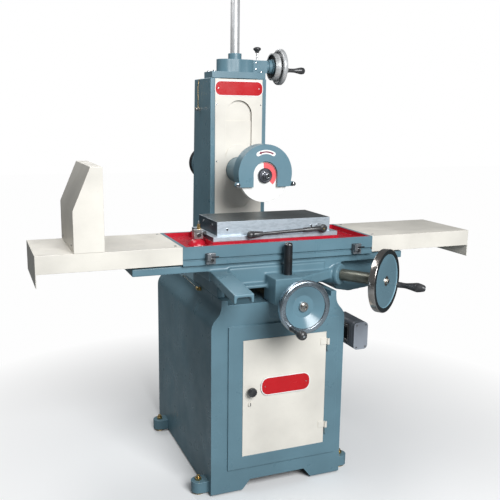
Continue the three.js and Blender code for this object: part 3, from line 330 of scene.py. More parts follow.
def cad_mesh(node):
    """The CAD node's solid with its split vertices joined and its flat faces whole."""
    source = frame["nodes"][node].data
    bm = bmesh.new()
    corners = [bm.verts.new(v.co) for v in source.vertices]
    for polygon in source.polygons:
        try:
            bm.faces.new([corners[i] for i in polygon.vertices])
        except ValueError:
            continue
    bmesh.ops.remove_doubles(bm, verts=bm.verts[:], dist=2e-6)
    bmesh.ops.dissolve_degenerate(bm, edges=bm.edges[:], dist=2e-6)
    bmesh.ops.dissolve_limit(bm, angle_limit=math.radians(0.4), verts=bm.verts[:], edges=bm.edges[:])
    bmesh.ops.recalc_face_normals(bm, faces=bm.faces[:])
    made = bpy.data.meshes.new(node + "_mesh")
    bm.to_mesh(made)
    bm.free()
    return made


def refine(node, width, segments=2, extra=(), pick=None, angle=32, face=None):
    """A finished copy of a CAD node with rounded edges. 'pick' gives a face's material from its corners."""
    usual, edge = FACE_AND_EDGE[SLOT_OF[node]]
    materials = [face or usual, edge, *extra]
    piece = new_piece(node + "_finish", cad_mesh(node), materials, BODY_OF[node], SLOT_OF[node])
    if pick:
        corners = [vertex.co for vertex in piece.data.vertices]
        for polygon in piece.data.polygons:
            polygon.material_index = pick([corners[i] for i in polygon.vertices], polygon.normal)
    soften(piece, width, segments, angle, 1)
    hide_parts(node)


def refine_each(width, *nodes, **settings):
    for node in nodes:
        refine(node, width, **settings)


def basis(origin, out):
    """Frame whose Z is 'out'; for a level axis its Y points up, so its X is the viewer's right facing it."""
    z = out.normalized()
    y = UP if abs(z.z) < 0.9 else BACK
    x = y.cross(z).normalized()
    return Matrix((x, y, z)).transposed().to_4x4(), Vector(origin)


def polar(radius, angle, x=0, y=0):
    """The point at an angle round (x, y)."""
    return x + radius * math.cos(angle), y + radius * math.sin(angle)


def sweep(start, stop, steps):
    """Evenly spaced angles from one to another, both in degrees."""
    return [math.radians(start + (stop - start) * i / steps) for i in range(steps + 1)]


def hexed(*rings):
    """Shape for a lathe: the numbered rings become hexagons."""
    sixth = math.pi / 3
    return lambda number, angle: (
        math.cos(sixth / 2) / math.cos(angle % sixth - sixth / 2) if number in rings else 1)


def fluted(count, depth, *rings):
    """Shape for a lathe: the numbered rings, or all of them, get a wave of 'depth' times their radius."""
    return lambda number, angle: 1 + (depth * math.cos(count * angle) if number in rings or not rings else 0)


def washer(inner, outer, near, far):
    """Rings of a flat washer, or of a disc where the inner radius is 0."""
    return [(inner, near), (outer, near), (outer, far), (inner, far)]


def at_depth(point, y):
    """The point moved along Y."""
    return Vector((point.x, y, point.z))


def turned(node, axis, out):
    """Where a turned node starts on its axis, its length along 'out', and its radius."""
    low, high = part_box(node)
    along, across = (0, 2) if out.x else (1, 2) if out.y else (2, 0)
    start = axis.copy()
    start[along] = (low if out[along] > 0 else high)[along]
    return start, high[along] - low[along], (high[across] - low[across]) / 2


class Turning:
    """Turned and prismatic shapes gathered in one mesh."""

    def __init__(self):
        self.bm = bmesh.new()

    def lathe(self, origin, out, profile, steps=72, shape=None, closed=False, material=0):
        """Revolve (radius, height) rings about 'out'. A third number is the next band's own material.

        A radius of 0 closes the end. 'closed' joins the last ring to the first. 'shape' gives each ring
        point's radius factor from (ring number, angle)."""
        turn, start = basis(origin, out)
        profile = [*profile, profile[0]] if closed else profile
        rings = []
        for number, (radius, height, *_) in enumerate(profile):
            if radius == 0:
                rings.append([self.bm.verts.new(start + (turn @ Vector((0, 0, height))))])
                continue
            ring = []
            for i in range(steps):
                angle = 2 * math.pi * i / steps
                r = radius * (shape(number, angle) if shape else 1)
                ring.append(self.bm.verts.new(start + (turn @ Vector((*polar(r, angle), height)))))
            rings.append(ring)
        for near, far, (_, _, *own) in zip(rings, rings[1:], profile):
            for i in range(steps):
                j = (i + 1) % steps
                corners = [near[i % len(near)], near[j % len(near)], far[j % len(far)], far[i % len(far)]]
                face = self.bm.faces.new(list(dict.fromkeys(corners)))
                face.material_index = own[0] if own else material

    def loft(self, ends, material):
        """Closed solid between two matching outlines of points."""
        near, far = ([self.bm.verts.new(point) for point in end] for end in ends)
        faces = [self.bm.faces.new(near[::-1]), self.bm.faces.new(far)]
        for i in range(len(near)):
            j = (i + 1) % len(near)
            faces.append(self.bm.faces.new([near[i], near[j], far[j], far[i]]))
        for face in faces:
            face.material_index = material

    def prism(self, origin, out, outline, low, high, material=0):
        """Extrude a closed outline of (x, y) points along 'out' from low to high."""
        turn, start = basis(origin, out)
        self.loft([[start + (turn @ Vector((x, y, h))) for x, y in outline] for h in (low, high)], material)

    def block(self, low, high):
        """Box between two corners in the row frame."""
        outline = ((low.x, low.y), (high.x, low.y), (high.x, high.y), (low.x, high.y))
        self.loft([[(x, y, z) for x, y in outline] for z in (low.z, high.z)], 0)

    def done(self, name, body, materials, slot, bevel, replaces=(), angle=32, edge=-1):
        """End as a named piece with rounded edges."""
        bmesh.ops.recalc_face_normals(self.bm, faces=self.bm.faces[:])
        made = bpy.data.meshes.new(name + "_mesh")
        self.bm.to_mesh(made)
        self.bm.free()
        piece = new_piece(name, made, materials, body, slot)
        soften(piece, bevel, 2, angle, edge)
        if replaces:
            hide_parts(*replaces)

    def stand_in(self, node, materials, bevel, **settings):
        """End as the piece that replaces a CAD node."""
        self.done(node + "_finish", BODY_OF[node], materials, SLOT_OF[node], bevel, (node,), **settings)


def rounded_outline(width, height, radius, steps=8):
    """Outline of a rounded rectangle centred on the origin."""
    points = []
    for corner, (sx, sy) in enumerate(((1, 1), (-1, 1), (-1, -1), (1, -1))):
        for i in range(steps + 1):
            angle = math.pi / 2 * (corner + i / steps)
            points.append(polar(radius, angle, sx * (width / 2 - radius), sy * (height / 2 - radius)))
    return points


def arc_band(inner, outer, start, stop, steps=24):
    """Outline of a band between two radii, from one angle to another in degrees."""
    angles = sweep(start, stop, steps)
    return [polar(outer, a) for a in angles] + [polar(inner, a) for a in reversed(angles)]


def capped_arc(radius, width, start, stop):
    """Outline of an arc band with round ends."""
    steps, cap = 20, 8
    points = []
    for edge, first, last in ((width / 2, start, stop), (-width / 2, stop, start)):
        points += [polar(radius + edge, angle) for angle in sweep(first, last, steps)]
        end = math.radians(last)
        for i in range(1, cap):
            swing = end + (0 if edge > 0 else math.pi) + math.pi * i / cap
            points.append(polar(width / 2, swing, *polar(radius, end)))
    return points


def smooth_profile(points, between=5):
    """Catmull-Rom curve through (radius, height) points, as rings for a lathe."""
    padded = [points[0], *points, points[-1]]
    rings = []
    for a, b, c, d in zip(padded, padded[1:], padded[2:], padded[3:]):
        for i in range(between):
            t = i / between
            ring = []
            for p0, p1, p2, p3 in zip(a, b, c, d):
                ring.append(0.5 * (2 * p1 + (p2 - p0) * t + (2 * p0 - 5 * p1 + 4 * p2 - p3) * t * t
                                   + (3 * p1 - p0 - 3 * p2 + p3) * t ** 3))
            rings.append((max(ring[0], 0.0), ring[1]))
    return [*rings, points[-1]]


def socket_screw(shapes, origin, out, radius, height, material=0, recess=1):
    """Cap screw head with a hexagon socket."""
    socket = radius * 0.55
    shapes.lathe(origin, out, [
        (radius, 0), (radius, height), (socket, height, recess), (socket, height * 0.4, recess),
        (0, height * 0.4, recess),
    ], 24, hexed(2, 3), material=material)


def pipe(name, points, radius, material, body, slot):
    """Metal pipe bent through the points."""
    curve = bpy.data.curves.new(name, "CURVE")
    curve.dimensions = "3D"
    curve.bevel_depth = radius
    curve.bevel_resolution = 4
    curve.resolution_u = 8
    curve.use_fill_caps = True
    spline = curve.splines.new("BEZIER")
    spline.bezier_points.add(len(points) - 1)
    for handle, point in zip(spline.bezier_points, points):
        handle.co = point
        handle.handle_left_type = handle.handle_right_type = "AUTO"
    return new_piece(name, curve, [material], body, slot)


# ---- camera, floor and light
EYE = Vector((-1.0179, -2.5174, 1.3915))
YAW, PITCH, ROLL = (math.radians(a) for a in (22.06, 11.03, 0.73))
LENS = 49.86


def make_camera():
    ahead = Vector((math.sin(YAW) * math.cos(PITCH), math.cos(YAW) * math.cos(PITCH), -math.sin(PITCH)))
    level = Vector((math.cos(YAW), -math.sin(YAW), 0))
    above = level.cross(ahead)
    side = level * math.cos(ROLL) + above * math.sin(ROLL)
    top = above * math.cos(ROLL) - level * math.sin(ROLL)
    data = bpy.data.cameras.new("camera")
    data.lens = LENS
    data.sensor_width = 36
    camera = bpy.data.objects.new("camera", data)
    camera.matrix_world = Matrix.Translation(EYE) @ Matrix((side, top, -ahead)).transposed().to_4x4()
    bpy.context.scene.collection.objects.link(camera)
    bpy.context.scene.camera = camera


def make_floor():
    bm = bmesh.new()
    bmesh.ops.create_grid(bm, x_segments=1, y_segments=1, size=14)
    data = bpy.data.meshes.new("floor")
    bm.to_mesh(data)
    bm.free()
    floor = bpy.data.objects.new("floor", data)
    bpy.context.scene.collection.objects.link(floor)
    surface = Surface("pale_floor", (0.85, 0.85, 0.85), 0.75)
    seen = surface.node("ShaderNodeLightPath").outputs["Is Camera Ray"]
    surface.colour(surface.blend(seen, (0.3, 0.32, 0.33), (0.92, 0.92, 0.92)))
    surface.rough(surface.spread(surface.noise(0.3, 3), 0.65, 0.8))
    distance = surface.node("ShaderNodeVectorMath", operation="LENGTH")
    surface.feed(distance.inputs[0], surface.place)
    fade = surface.math("MULTIPLY", surface.spread(distance.outputs["Value"], 0, 1, 0.6, 1.7), seen)
    glow = surface.node("ShaderNodeEmission")
    glow.inputs["Strength"].default_value = 0.99
    mixed = surface.node("ShaderNodeMixShader")
    surface.feed(mixed.inputs[0], fade)
    surface.feed(mixed.inputs[1], surface.shader.outputs[0])
    surface.feed(mixed.inputs[2], glow.outputs[0])
    surface.feed(surface.tree.nodes["Material Output"].inputs["Surface"], mixed.outputs[0])
    data.materials.append(surface.material)


def area_light(name, place, target, size, watts, tint=(1, 1, 1)):
    data = bpy.data.lights.new(name, "AREA")
    data.shape = "RECTANGLE"
    data.size, data.size_y = size
    data.energy = watts
    data.color = tint
    light = bpy.data.objects.new(name, data)
    place = Vector(place)
    light.location = place
    light.rotation_mode = "QUATERNION"
    light.rotation_quaternion = (Vector(target) - place).to_track_quat("-Z", "Y")
    bpy.context.scene.collection.objects.link(light)


def make_light():
    world = bpy.data.worlds.new("studio")
    bpy.context.scene.world = world
    world.use_nodes = True
    nodes, links = world.node_tree.nodes, world.node_tree.links
    fill = nodes["Background"]
    fill.inputs["Color"].default_value = (0.9, 0.96, 1, 1)
    fill.inputs["Strength"].default_value = 0.14
    backdrop = nodes.new("ShaderNodeBackground")
    backdrop.inputs["Color"].default_value = (1, 1, 1, 1)
    seen = nodes.new("ShaderNodeLightPath")
    either = nodes.new("ShaderNodeMixShader")
    links.new(seen.outputs["Is Camera Ray"], either.inputs[0])
    links.new(fill.outputs[0], either.inputs[1])
    links.new(backdrop.outputs[0], either.inputs[2])
    links.new(either.outputs[0], nodes["World Output"].inputs["Surface"])
    area_light("key", (0.15, -3.3, 2.6), (0, 0, 1.3), (1.8, 1.8), 172, (0.97, 0.985, 1))
    area_light("top", (-1.1, 0.3, 2.9), (-0.7, 0, 0.95), (1.0, 1.0), 20)
    area_light("back", (-0.4, 3.2, 3.3), (-0.2, 0, 1.0), (1.8, 1.4), 30)
    bpy.context.scene.view_settings.view_transform = "Standard"


make_camera()
make_floor()
make_light()


# ---- base cabinet
def make_base():
    refine("base_cabinet", 0.005, 3)
    refine_each(0.0008, *(f"levelling_screw_{number}" for number in range(1, 5)), "electrical_box_bracket")
    refine_each(0.0016, "electrical_box", "electrical_box_cover")
    low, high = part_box("electrical_box_cover")
    screws = Turning()
    inset = 0.011
    for x in (low.x + inset, high.x - inset):
        for z in (low.z + inset, high.z - inset):
            socket_screw(screws, (x, low.y, z), FRONT, 0.0035, 0.0022)
    screws.done("electrical_box_screws", "base", [steel, dark_gap], "steel", 0.0003)


def make_door():
    refine("cabinet_door", 0.0012)
    refine_each(0.0006, "door_hinge_lower", "door_hinge_upper", face=blue)
    low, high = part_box("cabinet_door")
    knob = pivot("door_knob_turn")
    key = Turning()
    key_at = knob + Vector((-0.001, 0, -0.052))
    key.lathe(key_at, FRONT, [(0.0085, 0), (0.0085, 0.0004), (0.0081, 0.0007), (0, 0.0007)], 40)
    key.prism(key_at, FRONT, rounded_outline(0.0032, 0.0135, 0.0015, 5), 0.0006, 0.0009, 1)
    key.done("door_keyhole", "door", [cream, dark_gap], "cream_paint", 0.0002)
    red_plate("door_plate", "door", Vector(((low.x + high.x) / 2 - 0.004, knob.y, 0.412)), 0.2, 0.07)


def make_door_knob():
    knob = pivot("door_knob_turn")
    tip, stem_back = (corner.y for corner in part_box("door_knob"))
    reach = knob.y - tip
    shapes = Turning()
    rings = smooth_profile([
        (0.0095, 0.0004), (0.012, 0.004), (0.0165, 0.009), (0.0172, 0.014), (0.0162, 0.0195),
        (0.011, reach - 0.001), (0, reach),
    ])
    shapes.lathe(knob, FRONT, rings, 56, fluted(12, 0.018))
    shapes.lathe(knob, BACK, [(0.0058, -0.001), (0.0058, stem_back - knob.y), (0, stem_back - knob.y)], 28)
    stem = at_depth(knob, stem_back)
    shapes.block(stem + Vector((-0.006, -0.006, -0.03)), stem + Vector((0.006, -0.001, 0.006)))
    shapes.stand_in("door_knob", [black], 0.0006, angle=50)


def red_plate(name, body, centre, width, height):
    """Plain rounded red plate with a thin white border and a rivet at each end."""
    radius = height * 0.42
    border = 0.0032
    shapes = Turning()
    for inset, material, proud in ((0, 1, 0.0013), (border, 0, 0.0016)):
        outline = rounded_outline(width - 2 * inset, height - 2 * inset, radius - inset)
        shapes.prism(centre, FRONT, outline, 0.0002, proud, material)
    for side in (-1, 1):
        at = centre + RIGHT * side * (width / 2 - 0.016)
        shapes.lathe(at, FRONT, [(0.0026, 0.0014), (0.0022, 0.0024), (0, 0.003)], 20, material=2)
    shapes.done(name, body, [plate_red, plate_white, steel], "cream_paint", 0.0001)


def make_lubrication():
    """Two fittings with thin metal oil pipes, on the left flanks of the column and the base."""
    column_low, column_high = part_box("column")
    height, pipe_top = 1.413, 1.533
    fitting = Vector((column_low.x, column_low.y + 0.134, height))
    shapes = Turning()
    shapes.lathe(fitting, LEFT, [
        (0.0085, -0.001), (0.0085, 0.006), (0.005, 0.006), (0.005, 0.013), (0.0065, 0.013), (0.0065, 0.02),
        (0, 0.02),
    ], 24, hexed(0, 1), material=1)
    pipe("column_oil_pipe", [
        fitting + Vector((-0.009, 0, 0.006)), fitting + Vector((-0.009, 0.001, 0.05)),
        fitting + Vector((-0.007, 0.004, 0.1)), Vector((column_low.x - 0.003, fitting.y + 0.004, pipe_top)),
    ], 0.0016, brass, "base", "brass")
    ways_half_width, drop = 0.229, 0.0105
    way_side = (column_low.x + column_high.x) / 2 - ways_half_width
    low_fitting = Vector((way_side, -0.066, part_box("base_cabinet")[1].z - drop))
    shapes.lathe(low_fitting, LEFT, [(0.0085, -0.001), (0.0085, 0.007), (0, 0.007)], 24, hexed(0, 1))
    elbow = low_fitting + Vector((-0.012, -0.004, 0))
    shapes.lathe(elbow, BACK, [
        (0, 0), (0.0062, 0), (0.0062, 0.014), (0.0048, 0.014), (0.0048, 0.022), (0, 0.022),
    ], 24)
    pipe("base_oil_pipe", [
        elbow + Vector(step) for step in (
            (0, 0.02, 0), (0.001, 0.09, 0.002), (0.002, 0.17, 0.007), (0.007, 0.225, 0.004),
            (0.016, 0.255, -0.012))
    ], 0.0019, shaded_brown_steel, "base", "steel")
    shapes.done("oil_fittings", "base", [brass, nickel], "brass", 0.0004)


# ---- column and elevating gear
def make_column():
    refine("column", 0.003, 3)
    refine("column_front_panel", 0.0006)
    refine_each(0.0005, "shutter_lower", "shutter_middle", "shutter_upper")
    refine("column_cap", 0.0025, 3)
    refine("gear_housing", 0.0028, 3, angle=40)
    low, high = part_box("column_front_panel")
    place = Vector(((low.x + high.x) / 2, low.y, high.z - 0.037))
    red_plate("column_plate", "base", place, high.x - low.x + 0.004, 0.06)


def make_column_screws():
    low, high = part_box("column_front_panel")
    screws = Turning()
    inset = 0.007
    for x in (low.x + inset, high.x - inset):
        for z in (low.z + 0.02, (low.z + high.z) / 2, high.z - 0.1):
            socket_screw(screws, (x, low.y, z), FRONT, 0.003, 0.0016)
    shaft = pivot("elevating_wheel_turn")
    dome = smooth_profile([(0.005, 0), (0.005, 0.0012), (0.0035, 0.0032), (0, 0.004)], 3)
    for drop in (0.014, -0.012):
        screws.lathe(((low.x + high.x) / 2 + 0.083, shaft.y - 0.025, shaft.z - drop), FRONT, dome, 24)
    cap_low, cap_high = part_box("column_cap")
    for x in (cap_low.x + 0.014, cap_high.x - 0.014):
        for y in (cap_low.y + 0.014, cap_high.y - 0.014):
            socket_screw(screws, (x, y, cap_high.z), UP, 0.006, 0.005)
    screws.done("column_screws", "base", [chrome, dark_gap], "chrome", 0.0004)


def make_cover_tube():
    low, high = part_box("screw_cover_tube")
    radius = (high.x - low.x) / 2
    top = high.z - low.z
    start = Vector(((low.x + high.x) / 2, (low.y + high.y) / 2, low.z))
    tube = Turning()
    tube.lathe(start, UP, [
        (radius - 0.0035, 0), (radius, 0), (radius, top - 0.006), (radius - 0.003, top), (0, top)])
    tube.stand_in("screw_cover_tube", [satin_tube], 0.0008)


def make_elevating_drive():
    shaft = pivot("elevating_wheel_turn")
    start, depth, radius = turned("elevating_dial", shaft, RIGHT)
    scale = graduated("elevating_scale", shaft, "Y", (0.6, 0.605, 0.6), (0.16, 0.16, 0.16), 0.45)
    dial = Turning()
    dial.lathe(start, RIGHT, [
        (0.0086, 0, 1), (0.03, 0, 1), (0.03, 0.007, 2), (0.048, 0.007, 2), (0.048, 0.002),
        (radius, 0.002, 3), (radius, 0.014), (radius, depth), (0.0086, depth),
    ], 120, closed=True)
    dial.stand_in("elevating_dial", [satin_tube, blue, dark_steel, scale], 0.0009)
    refine_each(0.0004, "elevating_pinion", "elevating_nut_gear")
    refine("elevating_screw", 0.0008)


def make_lock_knob():
    foot, top, _ = turned("elevation_lock_knob", pivot("elevation_lock_turn"), UP)
    head = 0.042
    knob = Turning()
    knob.lathe(foot, UP, [(0, 0), (0.0034, 0), (0.0034, head)], 32, material=1)
    knob.lathe(foot, UP, smooth_profile([
        (0.0045, head), (0.0078, head + 0.001), (0.0092, head + 0.006), (0.0145, head + 0.0115),
        (0.0158, head + 0.0145), (0.0138, top - 0.003), (0.006, top - 0.0002), (0, top)]), 48)
    knob.done("elevation_lock_finish", "elevation_lock", [black, steel], "black_plastic", 0.0004,
              ("elevation_lock_knob",), angle=50)


# ---- handwheels
PERIPHERY, FACE_RING, WEB, HUB, WEB_BACK, NUT, HOLE, LINE = range(8)
GRIP_GAP = 0.002


def fillet(radius, height, size, start, stop, material):
    """Rings of a rounded corner round (radius, height), from one angle to another in degrees."""
    return [(*polar(size, angle, radius, height), material) for angle in sweep(start, stop, 6)]


def rim_rings(radius, width, depth, rounding, step):
    """A wheel's rim from the inner edge of its face, round the outside, to the inner edge of its back."""
    core = radius - rounding
    return [
        (radius - width, -step, FACE_RING), (radius - width + step, 0, FACE_RING),
        *fillet(core, -rounding, rounding, 90, 0, PERIPHERY),
        *fillet(core, rounding - depth, rounding, 0, -90, PERIPHERY),
        (radius - width + 0.0015, -depth, WEB_BACK),
    ]


def on_face(joint, face, out):
    """The place on a wheel's face plane that a handle's joint lies over."""
    pin = pivot(joint)
    return pin - out * (pin - face).dot(out)


def finish_wheel(node, face, out, rings, nut_height, pin_joint, pin_length, materials):
    """Wheel, hub nut and the handle's pin with its ferrule."""
    wheel = Turning()
    wheel.lathe(face, out, rings, 120, closed=True)
    wheel.lathe(face + out * nut_height, out, [
        (0.0128, -0.001), (0.0128, 0.0012), (0.0102, 0.0012), (0.0096, 0.0085), (0.0052, 0.0085, HOLE),
        (0.0052, 0.0035, HOLE), (0, 0.0035, HOLE),
    ], 48, hexed(2, 3), material=NUT)
    wheel.lathe(on_face(pin_joint, face, out), out, [
        (0.0098, -0.001), (0.0098, 0.0018), (0.0085, 0.0018), (0.0085, 0.006), (0.0045, 0.006),
        (0.0045, pin_length), (0, pin_length),
    ], 32, material=HUB)
    wheel.stand_in(node, materials, 0.0008, angle=20)


def finish_grip(node, joint, face, out, length, shape):
    """Revolving grip with a screw head. 'shape' gives its profile as (radius, share of the length)."""
    grip = Turning()
    start = on_face(joint, face, out) + out * GRIP_GAP
    grip.lathe(start, out, smooth_profile([(radius, share * length) for radius, share in shape]), 48)
    head = [(0, -0.001), (0.0042, -0.001), (0.0038, 0.0007), (0, 0.0009)]
    grip.lathe(start + out * length, out, head, 24, material=1)
    grip.stand_in(node, [black, chrome], 0.0002, angle=60)


def make_cross_wheel():
    """Its chromed rim is round, and its blue web is a shallow cone behind a thin dark line."""
    radius, width, depth, bore, hub, hub_depth, flat = 0.0935, 0.019, 0.026, 0.0122, 0.017, 0.05, 0.0205
    inner = radius - width
    web_back = -flat - 0.006
    face = pivot("cross_feed_turn")
    rings = [
        (bore, -0.0135, HUB), (hub, -0.0135, HUB), (hub, -flat, WEB), (0.0385, -flat, WEB),
        (inner - 0.0012, -0.003, LINE), (inner, -0.003, LINE),
        *rim_rings(radius, width, depth, 0.0075, 0.0016), (inner, -0.022, WEB_BACK),
        (inner - 0.004, -0.013, WEB_BACK), (0.041, web_back, WEB_BACK), (hub + 0.002, web_back, WEB_BACK),
        (hub, -hub_depth, HUB), (bore, -hub_depth, HUB),
    ]
    finish_wheel("cross_feed_handwheel", face, FRONT, rings, -0.0135, "cross_feed_grip_spin", 0.026,
                 [cool_chrome, cool_chrome, blue_gloss, steel, blue, nickel, dark_gap, black])
    finish_grip("cross_feed_handle", "cross_feed_grip_spin", face, FRONT, 0.095, [
        (0.0082, 0), (0.0104, 0.03), (0.0096, 0.12), (0.0092, 0.36), (0.0132, 0.6), (0.0165, 0.78),
        (0.0146, 0.93), (0.0072, 0.995), (0.0042, 1),
    ])


def make_table_wheel():
    """Its rim has a bright edge and a black face, and a painted highlight runs as a light line round its flat
    blue web.
    """
    radius, width, depth, bore, hub, hub_depth, reach = 0.1175, 0.018, 0.025, 0.0146, 0.019, 0.042, 0.188
    inner = radius - width
    out = Vector(JOINTS["table_feed_turn"]["axis"]).normalized()
    face = pivot("table_feed_turn") + out * reach
    rings = [
        (bore, -0.0035, HUB), (hub, -0.0035, WEB), (inner - 0.0022, -0.0035, LINE),
        (inner - 0.0006, -0.0022, LINE), *rim_rings(radius, width, depth, 0.0022, 0.001),
        (inner, -0.014, WEB_BACK), (hub + 0.002, -0.014, WEB_BACK), (hub, -hub_depth, HUB),
        (bore, -hub_depth, HUB),
    ]
    finish_wheel("table_handwheel", face, out, rings, -0.0035, "table_grip_spin", 0.026,
                 [chrome_rim, ring_black, blue_gloss, steel, blue, nickel, dark_gap, painted_highlight_line])
    finish_grip("table_handle", "table_grip_spin", face, out, 0.105, [
        (0.0092, 0), (0.0114, 0.03), (0.011, 0.1), (0.0104, 0.3), (0.0148, 0.56), (0.0176, 0.7),
        (0.0168, 0.8), (0.0112, 0.985), (0.0042, 1),
    ])


def make_elevating_wheel():
    radius, width, depth, bore, hub, hub_depth = 0.0725, 0.011, 0.018, 0.0084, 0.02, 0.022
    inner = radius - width
    shaft = pivot("elevating_wheel_turn")
    face = Vector((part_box("elevating_dial")[1].x + hub_depth + 0.0005, shaft.y, shaft.z))
    rings = [
        (bore, 0.001, HUB), (hub, 0.001, HUB), (hub, -0.003, WEB), (inner, -0.003, WEB),
        *rim_rings(radius, width, depth, 0.0045, 0.001), (inner, -0.011, WEB_BACK),
        (hub + 0.002, -0.011, WEB_BACK), (hub, -hub_depth, HUB), (bore, -hub_depth, HUB),
    ]
    finish_wheel("elevating_handwheel", face, RIGHT, rings, 0.001, "elevating_grip_spin", 0.024,
                 [satin_tube, satin_tube, satin_tube, steel, satin_tube, steel, dark_gap, steel])
    finish_grip("elevating_handle", "elevating_grip_spin", face, RIGHT, 0.078, [
        (0.0072, 0), (0.0088, 0.03), (0.0078, 0.12), (0.0082, 0.38), (0.0112, 0.6), (0.0138, 0.78),
        (0.0122, 0.93), (0.006, 0.995), (0.0042, 1),
    ])


def make_cross_dial():
    centre = pivot("cross_feed_turn")
    start, depth, _ = turned("cross_feed_dial", centre, FRONT)
    scale = graduated("cross_scale", centre, "X", (0.05, 0.053, 0.058), (0.75, 0.75, 0.72), 0.7)
    dial = Turning()
    dial.lathe(start, FRONT, [
        (0.0124, 0), (0.024, 0), (0.024, 0.014), (0.044, 0.026, 1), (0.044, depth - 0.014),
        (0.03, depth), (0.0124, depth),
    ], 120, closed=True)
    dial.stand_in("cross_feed_dial", [dark_steel, scale], 0.001)


def make_feed_drives():
    refine("cross_feed_screw", 0.0008)
    refine("cross_feed_nut", 0.0012)
    refine("table_drive_shaft", 0.0008, face=shaded_brown_steel)


make_base()
make_door()
make_door_knob()
make_lubrication()
make_column()
make_column_screws()
make_cover_tube()
make_elevating_drive()
make_lock_knob()
make_cross_wheel()
make_table_wheel()
make_elevating_wheel()
make_cross_dial()
make_feed_drives()


# ---- wheelhead
SPINDLE = pivot("spindle_spin")


def make_wheelhead():
    refine("wheelhead", 0.002, angle=40)
    refine("guard_clamp_ring", 0.0014)
    refine("wheel_guard", 0.0012)
    refine("wheel_guard_cover", 0.0008)


def make_guard_label():
    """White arc with a plain dark arrow along it."""
    label = Turning()
    bend = 0.062
    centre = Vector((SPINDLE.x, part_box("wheel_guard_cover")[0].y, SPINDLE.z + 0.026))
    label.prism(centre, FRONT, capped_arc(bend, 0.0155, 60, 120), 0.0001, 0.0006, 0)
    label.prism(centre, FRONT, arc_band(bend - 0.0024, bend + 0.0024, 66, 108), 0.0003, 0.0009, 1)
    for start, reach in ((108, 9), (66, -6)):
        tail, tip = math.radians(start), math.radians(start + reach)
        half = 0.0062 if reach > 0 else 0.0046
        head = polar(bend - half, tail), polar(bend, tip), polar(bend + half, tail)
        label.prism(centre, FRONT, head, 0.0003, 0.0009, 1)
    label.done("guard_direction_label", "grinding_head", [plate_white, label_ink], "blue_paint", 0.0001)


def make_guard_knobs():
    for node, knurl in (("guard_knob_left", chrome), ("guard_knob_right", black)):
        low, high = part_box(node)
        start = at_depth(pivot(node + "_turn"), low.y + 0.013)
        knob = Turning()
        knob.lathe(start, FRONT, [
            (0.003, start.y - high.y), (0.003, 0), (0.0062, 0), (0.0075, 0.0015),
            (0.0075, 0.0115), (0.0062, 0.013, 1), (0, 0.013, 1),
        ], 72, fluted(24, 0.03, 3, 4))
        knob.stand_in(node, [knurl, chrome], 0.0004, angle=50)


def make_motor():
    start, length, _ = turned("spindle_motor", SPINDLE, BACK)
    radius, bell, valley, fin_count = 0.075, 0.03, 0.9, 40

    def fins(number, angle):
        return 1 if number not in (3, 4) or math.cos(fin_count * angle) > 0 else valley

    motor = Turning()
    motor.lathe(start, BACK, [
        (0, 0), (radius, 0), (radius, bell), (radius, bell + 0.0005), (radius, length - bell),
        (radius, length - bell + 0.0005), (radius, length), (0, length),
    ], 160, fins)
    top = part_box("spindle_motor")[1].z
    motor.block(
        Vector((SPINDLE.x - 0.028, start.y + 0.06, SPINDLE.z + radius - 0.008)),
        Vector((SPINDLE.x + 0.028, start.y + 0.13, top)))
    motor.stand_in("spindle_motor", [blue, blue_edge], 0.0008, edge=1)


def vanes(shapes, start, count, near, far, half_width, low, high):
    """Flat blades between two radii, set evenly round an axis that runs back from 'start'."""
    for i in range(count):
        along = Vector(polar(1, 2 * math.pi * i / count))
        over = Vector((-along.y, along.x)) * half_width
        corners = along * near - over, along * far - over, along * far + over, along * near + over
        shapes.prism(start, BACK, corners, low, high)


def make_fan_cover():
    start, depth, _ = turned("motor_fan_cover", SPINDLE, BACK)
    radius, lip, wall = 0.076, 0.06, 0.003
    cover = Turning()
    cover.lathe(start, BACK, [
        (radius, 0), (radius, depth - 0.014), (lip, depth), (lip - wall, depth),
        (lip - wall, depth - wall), (radius - wall, depth - 0.016), (radius - wall, 0),
    ], 96, closed=True)
    hoops, half_wire = 5, 0.0016
    for i in range(hoops):
        middle = 0.01 + (lip - 0.012) * i / hoops
        hoop = washer(middle - half_wire, middle + half_wire, depth - 0.004, depth - 0.001)
        cover.lathe(start, BACK, hoop, closed=True)
    vanes(cover, start, 6, 0.008, lip - 0.001, 0.0022, depth - 0.0052, depth - 0.0026)
    cover.stand_in("motor_fan_cover", [dark_steel], 0.0005)


def make_fan():
    start, _, _ = turned("motor_fan_cover", SPINDLE, BACK)
    fan = Turning()
    fan.lathe(start, BACK, washer(0, 0.02, 0.012, 0.034), 48)
    vanes(fan, start, 9, 0.018, 0.064, 0.0012, 0.012, 0.032)
    fan.done("motor_fan", "grinding_head", [black], "black_plastic", 0.0004)


def make_grinding_wheel():
    """The wheel and its paper washer, which has a red arc."""
    start, thick, radius = turned("grinding_wheel", SPINDLE, BACK)
    bore = 0.0162
    wheel = Turning()
    wheel.lathe(start, FRONT, washer(bore, radius, 0, -thick), 144, closed=True)
    wheel.stand_in("grinding_wheel", [white_grit], 0.001)
    paper = Turning()
    paper.lathe(start, FRONT, washer(bore + 0.002, 0.051, 0.0001, 0.0003), 96, closed=True)
    paper.prism(start, FRONT, arc_band(0.027, 0.049, 96, -46, 32), 0.0002, 0.00045, 1)
    paper.done("wheel_blotter", "spindle_body", [blotter, blotter_red], "abrasive", 0.00005)


